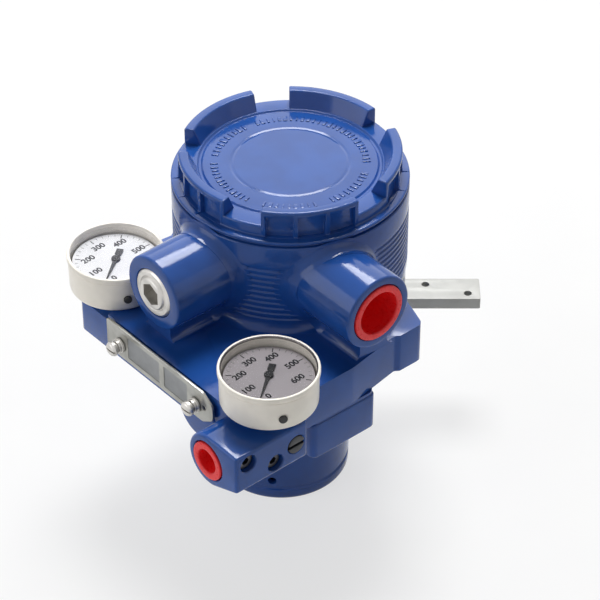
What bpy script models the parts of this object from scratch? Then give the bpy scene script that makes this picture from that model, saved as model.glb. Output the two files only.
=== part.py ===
"""Valve positioner: a die-cast housing with a castellated screw cover, two pressure gauges,
a pneumatic port block, a relay block with its cup, and a feedback lever.

Units are metres, +Z is up along the cover's axis, +X points along the cable entry with the dust
cap, and -Y points along the plugged cable entry. The origin is where the cover's axis meets the
plane that the relay cup stands on.
"""

import math

import bmesh
import bpy
from mathutils import Matrix, Vector

MM = 0.001

# Clearances
SEAT_GAP = 0.3 * MM
BEARING_GAP = 0.09 * MM

# Relay cup, the round foot
CUP_X = 12.5 * MM
CUP_Y = -16.0 * MM
CUP_RADIUS = 29.4 * MM
CUP_HEIGHT = 55.7 * MM
CUP_WALL = 3.2 * MM
CUP_EDGE_RADIUS = 3.0 * MM
CUP_VENT_ANGLE = -48.0
CUP_VENT_RADIUS = 1.8 * MM
CUP_VENT_HEIGHT = 5.2 * MM

# Relay block and its gasket
BLOCK_HEIGHT = 17.4 * MM
BLOCK_DISC_RADIUS = 33.0 * MM
BLOCK_EDGE = 1.2 * MM
BLOCK_LOBE_BACK_Y = -15.0 * MM
BLOCK_LOBE_FRONT_Y = -49.0 * MM
SPIGOT_HEIGHT = 7.0 * MM
GASKET_THICKNESS = 0.9 * MM
RELAY_SEAL_RADIUS = 0.9 * MM
BLOCK_SCREW_RADIUS = 2.5 * MM
BLOCK_SCREW_HEAD_RADIUS = 4.2 * MM
BLOCK_SCREW_HEAD_HEIGHT = 4.0 * MM
BLOCK_SCREW_DEPTH = 9.0 * MM

# Pilot relay inside the cup
RELAY_RADIUS = 19.0 * MM
RELAY_HEIGHT = 30.0 * MM
RELAY_FLANGE_RADIUS = 22.0 * MM
RELAY_FLANGE_HEIGHT = 4.0 * MM
RELAY_BORE_RADIUS = 5.0 * MM
SPOOL_LENGTH = 19.0 * MM
SPOOL_STEM_RADIUS = 2.4 * MM
SPOOL_LAND_HEIGHT = 4.0 * MM
SPOOL_STROKE = 0.8 * MM
SPRING_WIRE_RADIUS = 0.5 * MM
SPRING_TURNS = 4
RELAY_FLOOR = 3.0 * MM

# Slab, the broad lower part of the housing
SLAB_HEIGHT = 18.5 * MM
SLAB_FRONT_REACH = 32.6 * MM
SLAB_RIGHT_REACH = 22.6 * MM
SLAB_RIGHT_BEND_Y = -28.0 * MM
SLAB_WAIST_INSET = 4.2 * MM
SLAB_WAIST_Y = -2.0 * MM
SLAB_PAD_INSET = 2.8 * MM
SLAB_PAD_SLOPE = 2.0 * MM
SLAB_PAD_BACK_Y = 12.0 * MM
SLAB_SHOULDER_X = 40.0 * MM
SLAB_SHOULDER_Y = 22.0 * MM
SLAB_LEFT_X = -46.0 * MM
SLAB_LEFT_BACK_INSET = 6.0 * MM
SLAB_LEFT_FRONT_INSET = 8.0 * MM
SLAB_LEFT_CORNER = 9.6 * MM
SLAB_EDGE = 1.6 * MM
SLAB_LEFT_STEP_X = -19.0 * MM
SLAB_LEFT_STEP_Y = -44.0 * MM

# Barrel, the round upper part of the housing
BARREL_RADIUS = 49.0 * MM
BARREL_HEIGHT = 43.5 * MM
BARREL_NECK_INSET = 0.6 * MM
BARREL_FOOT_BAND = 4.0 * MM
BARREL_TOP_BAND = 12.0 * MM
RIB_COUNT = 10
RIB_DEPTH = 1.0 * MM
BARREL_WALL = 6.0 * MM
CAVITY_FLOOR = 5.0 * MM

# Cable entries
ENTRY_RADIUS = 16.2 * MM
ENTRY_HEIGHT = 21.5 * MM
ENTRY_ROOT_FLARE = 1.4 * MM
ENTRY_EDGE = 0.8 * MM
LEFT_ENTRY_X = 4.0 * MM
LEFT_ENTRY_REACH = 26.4 * MM
RIGHT_ENTRY_Y = -15.3 * MM
RIGHT_ENTRY_REACH = 22.8 * MM
ENTRY_WEB_WIDTH = 15.0 * MM
ENTRY_WEB_SETBACK = 2.5 * MM
CONDUIT_PLUG_RADIUS = 10.5 * MM
CONDUIT_PLUG_LENGTH = 13.0 * MM
CONDUIT_PLUG_RIM_HEIGHT = 1.2 * MM
CONDUIT_PLUG_RIM_INNER = 7.4 * MM
CONDUIT_HEX_RADIUS = 5.2 * MM
CONDUIT_HEX_DEPTH = 7.0 * MM
CABLE_BORE_RADIUS = 9.0 * MM
CONDUIT_CAP_RADIUS = 12.4 * MM
CONDUIT_CAP_INNER = 9.4 * MM
CONDUIT_CAP_LENGTH = 17.0 * MM
CAP_END_WALL = 1.5 * MM
CAP_PROUD = 0.6 * MM

# Port block at the front right corner
PORT_INSET = 17.6 * MM
PORT_PITCH = 25.0 * MM
PORT_DROP = 14.9 * MM
PORT_BOSS_RADIUS = 11.8 * MM
PORT_BLOCK_RIGHT_REACH = 10.0 * MM
PORT_BLOCK_FRONT_REACH = 15.2 * MM
PORT_BLOCK_LENGTH = 36.3 * MM
PORT_BLOCK_BOTTOM_DROP = 20.7 * MM
PORT_BLOCK_EDGE = 1.1 * MM
LOBE_PROUD = 0.7 * MM
PORT_CAP_RADIUS = 8.4 * MM
PORT_CAP_INNER = 5.2 * MM
PORT_CAP_LENGTH = 12.0 * MM
PORT_BORE_RADIUS = 4.2 * MM
PORT_BORE_DEPTH = 26.0 * MM
PLUG_HOLE_RADIUS = 3.8 * MM
PLUG_HOLE_DEPTH = 9.0 * MM
PLUG_LENGTH = 6.5 * MM
PLUG_SOCKET_RADIUS = 1.7 * MM
PLUG_SOCKET_DEPTH = 3.0 * MM
FRONT_PLUG_INSET = 6.4 * MM
FRONT_PLUG_DROP = 8.4 * MM
REAR_PLUG_INSET = 20.1 * MM
REAR_PLUG_DROP = 15.8 * MM
SWITCH_INSET = 30.4 * MM
SWITCH_DROP = 12.0 * MM
SWITCH_RADIUS = 4.0 * MM
SWITCH_LENGTH = 9.0 * MM
SWITCH_SLOT_WIDTH = 1.4 * MM
SWITCH_SLOT_DEPTH = 1.8 * MM

# Pressure gauges
GAUGE_INSET = 15.4 * MM
RIGHT_GAUGE_OFFSET = 1.0 * MM
LEFT_GAUGE_X = -33.0 * MM
GAUGE_RADIUS = 20.3 * MM
GAUGE_DEPTH = 16.4 * MM
GAUGE_WALL = 1.0 * MM
GAUGE_BEZEL_LIP = 1.6 * MM
GAUGE_BEZEL_HEIGHT = 2.4 * MM
GAUGE_WINDOW_THICKNESS = 1.6 * MM
GAUGE_DIAL_RADIUS = 18.0 * MM
GAUGE_DIAL_THICKNESS = 0.6 * MM
GAUGE_DIAL_DROP = 4.6 * MM
GAUGE_STEM_RADIUS = 5.0 * MM
GAUGE_STEM_DEPTH = 9.0 * MM
GAUGE_STEM_FLANGE = 6.4 * MM
GAUGE_ARBOR_RADIUS = 0.9 * MM
POINTER_LENGTH = 13.6 * MM
POINTER_TAIL = 6.6 * MM
POINTER_TIP_WIDTH = 0.5 * MM
POINTER_ROOT_WIDTH = 1.7 * MM
POINTER_TAIL_WIDTH = 2.8 * MM
POINTER_THICKNESS = 0.4 * MM
POINTER_LIFT = 0.4 * MM
POINTER_HUB_RADIUS = 1.9 * MM
POINTER_REST_ANGLE = 307.0
TUBE_BEND_RADIUS = 13.0 * MM
TUBE_RADIUS = 1.7 * MM
TUBE_SWEEP = 250.0
MOVEMENT_RADIUS = 7.5 * MM
MOVEMENT_HEIGHT = 6.0 * MM
MOVEMENT_PLATE = 1.0 * MM
MOVEMENT_WAIST_WALL = 2.4 * MM
GAUGE_VENT_RADIUS = 1.5 * MM
GAUGE_VENT_HEAD_RADIUS = 2.1 * MM
GAUGE_VENT_ANGLE = -24.0
GAUGE_VENT_DROP = 10.5 * MM

# Name plate
PLATE_LEFT_X = -17.0 * MM
PLATE_PORT_GAP = 0.7 * MM
PLATE_HEIGHT = 15.0 * MM
PLATE_THICKNESS = 1.0 * MM
PLATE_STANDOFF = 1.4 * MM
PLATE_RISE = 0.8 * MM
PLATE_SCREW_LEFT_X = -8.0 * MM
PLATE_SCREW_RIGHT_INSET = 10.5 * MM
PLATE_SCREW_DROP = 8.6 * MM
PLATE_SCREW_RADIUS = 1.9 * MM
PLATE_SCREW_DEPTH = 6.0 * MM
PLATE_STUD_LENGTH = 3.4 * MM
PLATE_HEAD_RADIUS = 3.2 * MM
PLATE_HEAD_HEIGHT = 2.2 * MM
PLATE_HOLE_INSET = 5.5 * MM
PLATE_END_ANGLE = 70.0
PLATE_HOLE_RADIUS = 1.1 * MM

# Screw cover
COVER_FLANGE_HEIGHT = 2.4 * MM
COVER_FLANGE_WIDTH = 3.2 * MM
COVER_PLATE_HEIGHT = 5.3 * MM
COVER_PLATE_THICKNESS = 4.0 * MM
COVER_SKIRT_WALL = 3.5 * MM
COVER_SKIRT_GAP = 0.4 * MM
COVER_GROOVE_RADIUS = 24.0 * MM
COVER_STEP_INSET = 8.4 * MM
COVER_STEP_WIDTH = 0.9 * MM
COVER_STEP_DEPTH = 0.6 * MM
THREAD_PITCH = 1.5 * MM
THREAD_TURNS = 6
LUG_COUNT = 5
LUG_SPAN = 51.5
LUG_FIRST_CENTRE = -29.5
LUG_HEIGHT = 7.0 * MM
LUG_TOP_WIDTH = 3.4 * MM
LUG_FOOT_WIDTH = 7.6 * MM
LUG_TOP_TAPER = 0.7 * MM
LUG_POCKETS = 3
LUG_POCKET_DEPTH = 1.9 * MM
LUG_RIB_ANGLE = 2.4
LUG_POCKET_MARGIN = 1.2 * MM
LUG_GAP_STEP = 0.15 * MM
COVER_SEAL_RADIUS = 0.85 * MM

# Terminal compartment
MODULE_SIDE_GAP = 1.5 * MM
MODULE_HEIGHT = 7.0 * MM
MODULE_SCREW_INSET = 7.0 * MM
MODULE_SCREW_ANGLES = (30.0, 210.0)
BOARD_SIDE_GAP = 2.0 * MM
MODULE_SCREW_RADIUS = 1.8 * MM
MODULE_SCREW_HEAD_RADIUS = 3.2 * MM
MODULE_SCREW_HEAD_HEIGHT = 2.2 * MM
MODULE_SCREW_DEPTH = 3.2 * MM
CIRCUIT_BOARD_THICKNESS = 1.6 * MM
TERMINAL_LENGTH = 36.0 * MM
TERMINAL_WIDTH = 18.0 * MM
TERMINAL_HEIGHT = 11.0 * MM
TERMINAL_Y = 12.0 * MM
TERMINAL_COUNT = 3
TERMINAL_RIB_WIDTH = 1.2 * MM
TERMINAL_STEP = 4.0 * MM
TERMINAL_SCREW_RADIUS = 2.8 * MM
TERMINAL_SCREW_HEIGHT = 1.8 * MM
TERMINAL_SHANK_RADIUS = 1.3 * MM
TERMINAL_SHANK_DEPTH = 4.0 * MM

# Electro-pneumatic module in the slab
NOZZLE_POCKET_X = 16.0 * MM
NOZZLE_POCKET_Y = -22.0 * MM
NOZZLE_POCKET_LENGTH = 32.0 * MM
NOZZLE_POCKET_WIDTH = 26.0 * MM
NOZZLE_POCKET_DEPTH = 14.0 * MM
NOZZLE_BASE_HEIGHT = 4.0 * MM
COIL_RADIUS = 6.0 * MM
COIL_HEIGHT = 6.0 * MM
COIL_CORE_RADIUS = 2.2 * MM
FLAPPER_THICKNESS = 0.8 * MM
FLAPPER_WIDTH = 7.0 * MM

# Feedback shaft, sensor gear and lever
SHAFT_SIDE_OFFSET = 34.5 * MM
SHAFT_BACK_OFFSET = 33.0 * MM
SHAFT_RADIUS = 4.0 * MM
BUSH_WALL = 2.0 * MM
SHAFT_PLATE_THICKNESS = 3.0 * MM
SHAFT_PLATE_RADIUS = 21.5 * MM
SENSOR_PLATE_RADIUS = 14.5 * MM
GEAR_POCKET_DEPTH = 16.0 * MM
GEAR_POCKET_RADIUS = 15.6 * MM
SENSOR_POCKET_RADIUS = 9.0 * MM
SHAFT_BOSS_RADIUS = 9.5 * MM
SHAFT_BOSS_LENGTH = 13.0 * MM
SHAFT_SOCKET_DEPTH = 4.0 * MM
SECTOR_TEETH = 36
PINION_TEETH = 12
GEAR_MODULE = 0.8 * MM
GEAR_THICKNESS = 2.2 * MM
GEAR_TOOTH_HEIGHT = 1.15 * MM
SECTOR_SPAN = 110.0
SECTOR_HUB_ANGLE = 15.0
SECTOR_HUB_RADIUS = 7.0 * MM
SECTOR_LIFT = 3.0 * MM
SENSOR_RADIUS = 8.0 * MM
SENSOR_HEIGHT = 7.5 * MM
SENSOR_SHAFT_RADIUS = 1.5 * MM
LEVER_REST_ANGLE = 49.5
LEVER_DROP = 1.0 * MM
LEVER_THICKNESS = 5.4 * MM
LEVER_WIDTH = 14.4 * MM
LEVER_LENGTH = 84.0 * MM
LEVER_EDGE = 0.5 * MM
LEVER_HUB_RADIUS = 10.0 * MM
LEVER_HOLE_RADIUS = 1.7 * MM
LEVER_OUTER_HOLE_SETBACK = 5.4 * MM
LEVER_HOLE_SPACING = 18.3 * MM
LEVER_HOLE_OFFSET = 3.2 * MM
LEVER_NUT_RADIUS = 6.5 * MM
LEVER_NUT_HEIGHT = 4.0 * MM
SHAFT_END_RADIUS = 3.0 * MM
SHAFT_END_PROUD = 1.0 * MM
SHAFT_PLATE_SCREW_HEAD = 2.2 * MM
SHAFT_PLATE_SCREW_RADIUS = 1.5 * MM
SHAFT_PLATE_SCREW_LENGTH = 8.0 * MM

# Places that follow from the sizes above
SLAB_FRONT_Y = -BARREL_RADIUS - SLAB_FRONT_REACH
SLAB_RIGHT_X = BARREL_RADIUS + SLAB_RIGHT_REACH
SLAB_WAIST_X = SLAB_RIGHT_X - SLAB_WAIST_INSET
SLAB_PAD_X = SLAB_RIGHT_X - SLAB_PAD_INSET
CAVITY_RADIUS = BARREL_RADIUS - BARREL_WALL
LEFT_ENTRY_END_Y = -BARREL_RADIUS - LEFT_ENTRY_REACH
RIGHT_ENTRY_END_X = BARREL_RADIUS + RIGHT_ENTRY_REACH
PORT_BLOCK_RIGHT_X = SLAB_RIGHT_X + PORT_BLOCK_RIGHT_REACH
PORT_BLOCK_FRONT_Y = SLAB_FRONT_Y - PORT_BLOCK_FRONT_REACH
PORT_BLOCK_BACK_Y = PORT_BLOCK_FRONT_Y + PORT_BLOCK_LENGTH
PORT_X = PORT_BLOCK_RIGHT_X - PORT_INSET
PLATE_RIGHT_X = PORT_X - PORT_BOSS_RADIUS - PLATE_PORT_GAP
PLATE_SCREW_RIGHT_X = PLATE_RIGHT_X - PLATE_SCREW_RIGHT_INSET
PLATE_HOLE_X = PLATE_RIGHT_X - PLATE_HOLE_INSET
FRONT_PLUG_Y = PORT_BLOCK_FRONT_Y + FRONT_PLUG_INSET
REAR_PLUG_Y = PORT_BLOCK_FRONT_Y + REAR_PLUG_INSET
SWITCH_Y = PORT_BLOCK_FRONT_Y + SWITCH_INSET
GAUGE_Y = SLAB_FRONT_Y + GAUGE_INSET
RIGHT_GAUGE_X = PORT_X + RIGHT_GAUGE_OFFSET
COVER_BODY_RADIUS = BARREL_RADIUS - COVER_FLANGE_WIDTH
COVER_STEP_RADIUS = COVER_BODY_RADIUS - COVER_STEP_INSET
MODULE_RADIUS = CAVITY_RADIUS - MODULE_SIDE_GAP
MODULE_SCREW_CIRCLE = CAVITY_RADIUS - MODULE_SCREW_INSET
SHAFT_X = CUP_X - SHAFT_SIDE_OFFSET
SHAFT_Y = CUP_Y + SHAFT_BACK_OFFSET

# Levels that follow from the sizes above
BLOCK_BOTTOM_Z = CUP_HEIGHT + SEAT_GAP
LEVER_TOP_Z = BLOCK_BOTTOM_Z - LEVER_DROP
BLOCK_TOP_Z = BLOCK_BOTTOM_Z + BLOCK_HEIGHT
GASKET_Z = BLOCK_TOP_Z + SEAT_GAP
SLAB_BOTTOM_Z = GASKET_Z + GASKET_THICKNESS + SEAT_GAP
SLAB_TOP_Z = SLAB_BOTTOM_Z + SLAB_HEIGHT
BARREL_TOP_Z = SLAB_TOP_Z + BARREL_HEIGHT
CAVITY_FLOOR_Z = SLAB_TOP_Z + CAVITY_FLOOR
ENTRY_Z = SLAB_TOP_Z + ENTRY_HEIGHT
COVER_Z = BARREL_TOP_Z + SEAT_GAP
COVER_PLATE_Z = COVER_Z + COVER_PLATE_HEIGHT
PORT_Z = SLAB_TOP_Z - PORT_DROP
FRONT_PLUG_Z = SLAB_TOP_Z - FRONT_PLUG_DROP
REAR_PLUG_Z = SLAB_TOP_Z - REAR_PLUG_DROP
SWITCH_Z = SLAB_TOP_Z - SWITCH_DROP
PORT_BLOCK_TOP_Z = PORT_Z + PORT_BOSS_RADIUS
GAUGE_BOTTOM_Z = SLAB_TOP_Z + 2 * SEAT_GAP
GAUGE_TOP_Z = GAUGE_BOTTOM_Z + GAUGE_DEPTH
GAUGE_DIAL_Z = GAUGE_TOP_Z - GAUGE_DIAL_DROP
GEAR_CENTRES = GEAR_MODULE * (SECTOR_TEETH + PINION_TEETH) / 2

# Finishes: colour, roughness, metallic
BLUE_PAINT = ("blue_paint", (0.012, 0.060, 0.300), 0.22, 0.0)
RED_PLASTIC = ("red_plastic", (0.700, 0.030, 0.025), 0.40, 0.0)
ZINC = ("zinc_plate", (0.620, 0.610, 0.600), 0.35, 1.0)
STEEL = ("steel", (0.560, 0.560, 0.550), 0.35, 1.0)
GREY_LEVER = ("lever_steel", (0.700, 0.700, 0.680), 0.45, 0.6)
BRASS = ("brass", (0.620, 0.460, 0.200), 0.35, 1.0)
CREAM_PAINT = ("cream_paint", (0.800, 0.770, 0.700), 0.35, 0.0)
DIAL_WHITE = ("dial_white", (0.720, 0.690, 0.700), 0.60, 0.0)
GLASS = ("glass", (0.850, 0.880, 0.900), 0.05, 0.0)
BLACK_PAINT = ("black_paint", (0.020, 0.020, 0.025), 0.40, 0.0)
RUBBER = ("rubber", (0.030, 0.030, 0.030), 0.70, 0.0)
GREEN_BOARD = ("green_board", (0.030, 0.180, 0.080), 0.50, 0.0)
BLACK_RESIN = ("black_resin", (0.030, 0.030, 0.035), 0.55, 0.0)
COPPER = ("copper", (0.600, 0.280, 0.150), 0.35, 1.0)
ALUMINIUM = ("aluminium", (0.680, 0.690, 0.700), 0.40, 1.0)

UP = Vector((0, 0, 1))
FACETS_LARGE = 48
FACETS_MEDIUM = 32
FACETS_ROUND = 24
FACETS_SMALL = 16
FACETS_TINY = 8


def clear_scene():
    for item in list(bpy.data.objects):
        bpy.data.objects.remove(item, do_unlink=True)


def material(finish):
    """Returns the Principled material of a finish, made once."""
    name, colour, roughness, metallic = finish
    found = bpy.data.materials.get(name)
    if found:
        return found
    made = bpy.data.materials.new(name)
    made.use_nodes = True
    shader = made.node_tree.nodes["Principled BSDF"]
    shader.inputs["Base Color"].default_value = (*colour, 1)
    shader.inputs["Roughness"].default_value = roughness
    shader.inputs["Metallic"].default_value = metallic
    return made


def make_object(name, shape, location=(0, 0, 0), turn=None):
    """Links a new object that holds the bmesh, and frees the bmesh."""
    bmesh.ops.remove_doubles(shape, verts=shape.verts, dist=1e-6)
    bmesh.ops.recalc_face_normals(shape, faces=shape.faces)
    mesh = bpy.data.meshes.new(name)
    shape.to_mesh(mesh)
    shape.free()
    made = bpy.data.objects.new(name, mesh)
    made.matrix_world = Matrix.Translation(location) @ (turn or Matrix())
    bpy.context.scene.collection.objects.link(made)
    return made


def axis_turn(axis):
    """Returns the rotation that carries +Z onto an axis."""
    return UP.rotation_difference(Vector(axis)).to_matrix().to_4x4()


def revolve(name, profile, facets, location=(0, 0, 0), axis=(0, 0, 1)):
    """Spins a profile of (radius, height) points about an axis through the location.

    A profile that starts and ends on the axis closes there; any other one closes on itself.
    """
    shape = bmesh.new()
    verts = [shape.verts.new((radius, 0, height)) for radius, height in profile]
    edges = [shape.edges.new(pair) for pair in zip(verts, verts[1:])]
    if profile[0][0] > 1e-9 or profile[-1][0] > 1e-9:
        edges.append(shape.edges.new((verts[-1], verts[0])))
    bmesh.ops.spin(shape, geom=verts + edges, axis=(0, 0, 1), cent=(0, 0, 0),
                   angle=math.tau, steps=facets, use_merge=True)
    bmesh.ops.remove_doubles(shape, verts=shape.verts, dist=1e-7)
    return make_object(name, shape, location, axis_turn(axis))


def extrude(name, outline, height, location=(0, 0, 0), turn=None):
    """Raises a closed outline of (x, y) points by a height along its own Z."""
    shape = bmesh.new()
    face = shape.faces.new([shape.verts.new((x, y, 0)) for x, y in outline])
    raised = bmesh.ops.extrude_face_region(shape, geom=[face])
    tops = [item for item in raised["geom"] if isinstance(item, bmesh.types.BMVert)]
    bmesh.ops.translate(shape, verts=tops, vec=(0, 0, height))
    return make_object(name, shape, location, turn)


def disc(name, radius, height, location, axis=(0, 0, 1), facets=FACETS_SMALL, edge=0.0):
    """Makes a round bar from the location along the axis, with chamfered ends if edge is set."""
    profile = [(0, 0), (radius, 0), (radius, height), (0, height)]
    if edge:
        profile = [(0, 0), (radius - edge, 0), (radius, edge), (radius, height - edge),
                   (radius - edge, height), (0, height)]
    return revolve(name, profile, facets, location, axis)


def ring(name, major, minor, location, facets=FACETS_LARGE, sides=8):
    """Makes an O-ring whose centre circle lies in the plane through the location."""
    steps = [math.tau * step / sides for step in range(sides)]
    profile = [(major + minor * math.cos(step), minor * math.sin(step)) for step in steps]
    return revolve(name, profile, facets, location)


def arc(centre_x, centre_y, radius, start, end, steps):
    """Returns the points of an arc between two angles in degrees, both ends included."""
    angles = [math.radians(start + (end - start) * step / steps) for step in range(steps + 1)]
    return [(centre_x + radius * math.cos(a), centre_y + radius * math.sin(a)) for a in angles]


def regular(radius, sides, phase=0.0):
    """Returns the corners of a regular polygon."""
    return arc(0, 0, radius, phase, phase + 360 * (sides - 1) / sides, sides - 1)


def apply_modifiers(target):
    """Replaces the object's mesh by what its modifiers make of it."""
    graph = bpy.context.evaluated_depsgraph_get()
    mesh = bpy.data.meshes.new_from_object(target.evaluated_get(graph))
    target.modifiers.clear()
    target.data = mesh


def combine(target, tools, operation):
    """Applies an exact Boolean with each tool in turn, and removes the tools."""
    for tool in tools:
        modifier = target.modifiers.new("combine", "BOOLEAN")
        modifier.operation = operation
        modifier.solver = "EXACT"
        modifier.object = tool
        modifier.use_self = True
        apply_modifiers(target)
        bpy.data.objects.remove(tool, do_unlink=True)
    return target


def cut(target, *tools):
    return combine(target, tools, "DIFFERENCE")


def join(target, *tools):
    return combine(target, tools, "UNION")


def gather(name, pieces):
    """Puts separate solids into one object, so that one Boolean takes a whole set of cutters."""
    bpy.context.view_layer.update()
    shape = bmesh.new()
    for piece in pieces:
        copy = piece.data.copy()
        copy.transform(piece.matrix_world)
        shape.from_mesh(copy)
        bpy.data.meshes.remove(copy)
        bpy.data.objects.remove(piece, do_unlink=True)
    return make_object(name, shape)


def soften(target, width, segments=2, angle=40.0):
    """Rounds the sharp edges of an object."""
    modifier = target.modifiers.new("soften", "BEVEL")
    modifier.width = width
    modifier.segments = segments
    modifier.limit_method = "ANGLE"
    modifier.angle_limit = math.radians(angle)
    modifier.use_clamp_overlap = True
    apply_modifiers(target)
    return target


def finish(target, look, flat=False):
    """Gives an object its material and its shading."""
    target.data.materials.clear()
    target.data.materials.append(material(look))
    if not flat:
        target.data.shade_smooth()
        target.data.set_sharp_from_angle(angle=math.radians(35))
    return target


def polar(radius, angle, height=0.0, centre=(0, 0)):
    """Returns a point at an angle in degrees round a centre."""
    turn = math.radians(angle)
    return Vector((centre[0] + radius * math.cos(turn), centre[1] + radius * math.sin(turn), height))


def barrel_profile(top):
    """Returns the ribbed outer wall of the barrel, from its bottom to the given height."""
    foot_top = SLAB_TOP_Z + BARREL_FOOT_BAND
    ribs_top = BARREL_TOP_Z - BARREL_TOP_BAND
    pitch = (ribs_top - foot_top) / RIB_COUNT
    neck = BARREL_RADIUS - BARREL_NECK_INSET
    profile = [(0, SLAB_BOTTOM_Z), (neck, SLAB_BOTTOM_Z), (neck, SLAB_TOP_Z + BARREL_NECK_INSET),
               (BARREL_RADIUS, SLAB_TOP_Z + 2 * BARREL_NECK_INSET), (BARREL_RADIUS, foot_top)]
    for rib in range(RIB_COUNT):
        low = foot_top + rib * pitch
        profile.append((BARREL_RADIUS - RIB_DEPTH, low + 0.35 * pitch))
        profile.append((BARREL_RADIUS, low + pitch))
    profile += [(BARREL_RADIUS, top - ENTRY_EDGE), (BARREL_RADIUS - ENTRY_EDGE, top), (0, top)]
    return profile


def slab_outline():
    """Returns the slab's plan, from its left front corner round to its left side."""
    return [(SLAB_LEFT_X + SLAB_LEFT_FRONT_INSET, SLAB_FRONT_Y), (SLAB_RIGHT_X, SLAB_FRONT_Y),
            (SLAB_RIGHT_X, SLAB_RIGHT_BEND_Y), (SLAB_WAIST_X, SLAB_WAIST_Y),
            (SLAB_PAD_X, SLAB_WAIST_Y + SLAB_PAD_SLOPE), (SLAB_PAD_X, SLAB_PAD_BACK_Y),
            (SLAB_SHOULDER_X, SLAB_SHOULDER_Y), (SLAB_LEFT_X + SLAB_LEFT_BACK_INSET, SLAB_SHOULDER_Y),
            (SLAB_LEFT_X, SLAB_LEFT_STEP_Y), (SLAB_LEFT_X, SLAB_FRONT_Y + SLAB_LEFT_CORNER)]


def port_block_outline():
    """Returns the port block's section: a round boss at the left that runs into a flat block."""
    bottom = SLAB_TOP_Z - PORT_BLOCK_BOTTOM_DROP
    return [(PORT_BLOCK_RIGHT_X, bottom), (PORT_BLOCK_RIGHT_X, PORT_BLOCK_TOP_Z)] + arc(
        PORT_X, PORT_Z, PORT_BOSS_RADIUS, 90, 290, 20)


def entry(name, location, axis, length):
    """Makes one cable entry boss from the barrel's axis to its end face."""
    profile = [(0, 0), (ENTRY_RADIUS + ENTRY_ROOT_FLARE, 0), (ENTRY_RADIUS, length - ENTRY_EDGE),
               (ENTRY_RADIUS - ENTRY_EDGE, length), (0, length)]
    return revolve(name, profile, FACETS_MEDIUM, location, axis)


def build_housing():
    """Casts the housing: barrel, slab, cable entries, port block, bores and pockets."""
    housing = revolve("main_housing", barrel_profile(BARREL_TOP_Z), FACETS_LARGE)
    slab = extrude("slab", slab_outline(), SLAB_HEIGHT, (0, 0, SLAB_BOTTOM_Z))
    cut(slab, box("step", (2 * SLAB_LEFT_X, 2 * SLAB_FRONT_Y, PORT_BLOCK_TOP_Z),
                  (SLAB_LEFT_STEP_X, SLAB_LEFT_STEP_Y, BARREL_TOP_Z)))
    soften(slab, SLAB_EDGE)
    along_y = Matrix.Rotation(math.radians(90), 4, "X")
    block = soften(extrude("block", port_block_outline(), PORT_BLOCK_LENGTH, (0, PORT_BLOCK_BACK_Y, 0),
                           along_y), PORT_BLOCK_EDGE)
    lobe_front = SLAB_FRONT_Y - LOBE_PROUD
    lobe = disc("lobe", PORT_BOSS_RADIUS, GAUGE_Y + PORT_BOSS_RADIUS - lobe_front,
                (PORT_X - PORT_PITCH, lobe_front, PORT_Z), (0, 1, 0), FACETS_MEDIUM, PORT_BLOCK_EDGE)
    left = entry("left_entry", (LEFT_ENTRY_X, 0, ENTRY_Z), (0, -1, 0), -LEFT_ENTRY_END_Y)
    right = entry("right_entry", (0, RIGHT_ENTRY_Y, ENTRY_Z), (1, 0, 0), RIGHT_ENTRY_END_X)
    half_web = ENTRY_WEB_WIDTH / 2
    left_web = box("left_web", (LEFT_ENTRY_X - half_web, LEFT_ENTRY_END_Y + ENTRY_WEB_SETBACK,
                                SLAB_TOP_Z - SLAB_EDGE), (LEFT_ENTRY_X + half_web, 0, ENTRY_Z))
    right_web = box("right_web", (0, RIGHT_ENTRY_Y - half_web, SLAB_TOP_Z - 2 * SLAB_EDGE),
                    (RIGHT_ENTRY_END_X - ENTRY_WEB_SETBACK, RIGHT_ENTRY_Y + half_web, ENTRY_Z))
    join(housing, slab, block, lobe, left, right, left_web, right_web)
    cut(housing, gather("bores", housing_bores()))
    return finish(housing, BLUE_PAINT)


def box(name, low, high):
    """Makes a box between two corners, used for cutters and for straight webs."""
    shape = bmesh.new()
    bmesh.ops.create_cube(shape, size=1)
    size = Vector(high) - Vector(low)
    bmesh.ops.scale(shape, vec=size, verts=shape.verts)
    return make_object(name, shape, (Vector(low) + Vector(high)) / 2)


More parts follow.
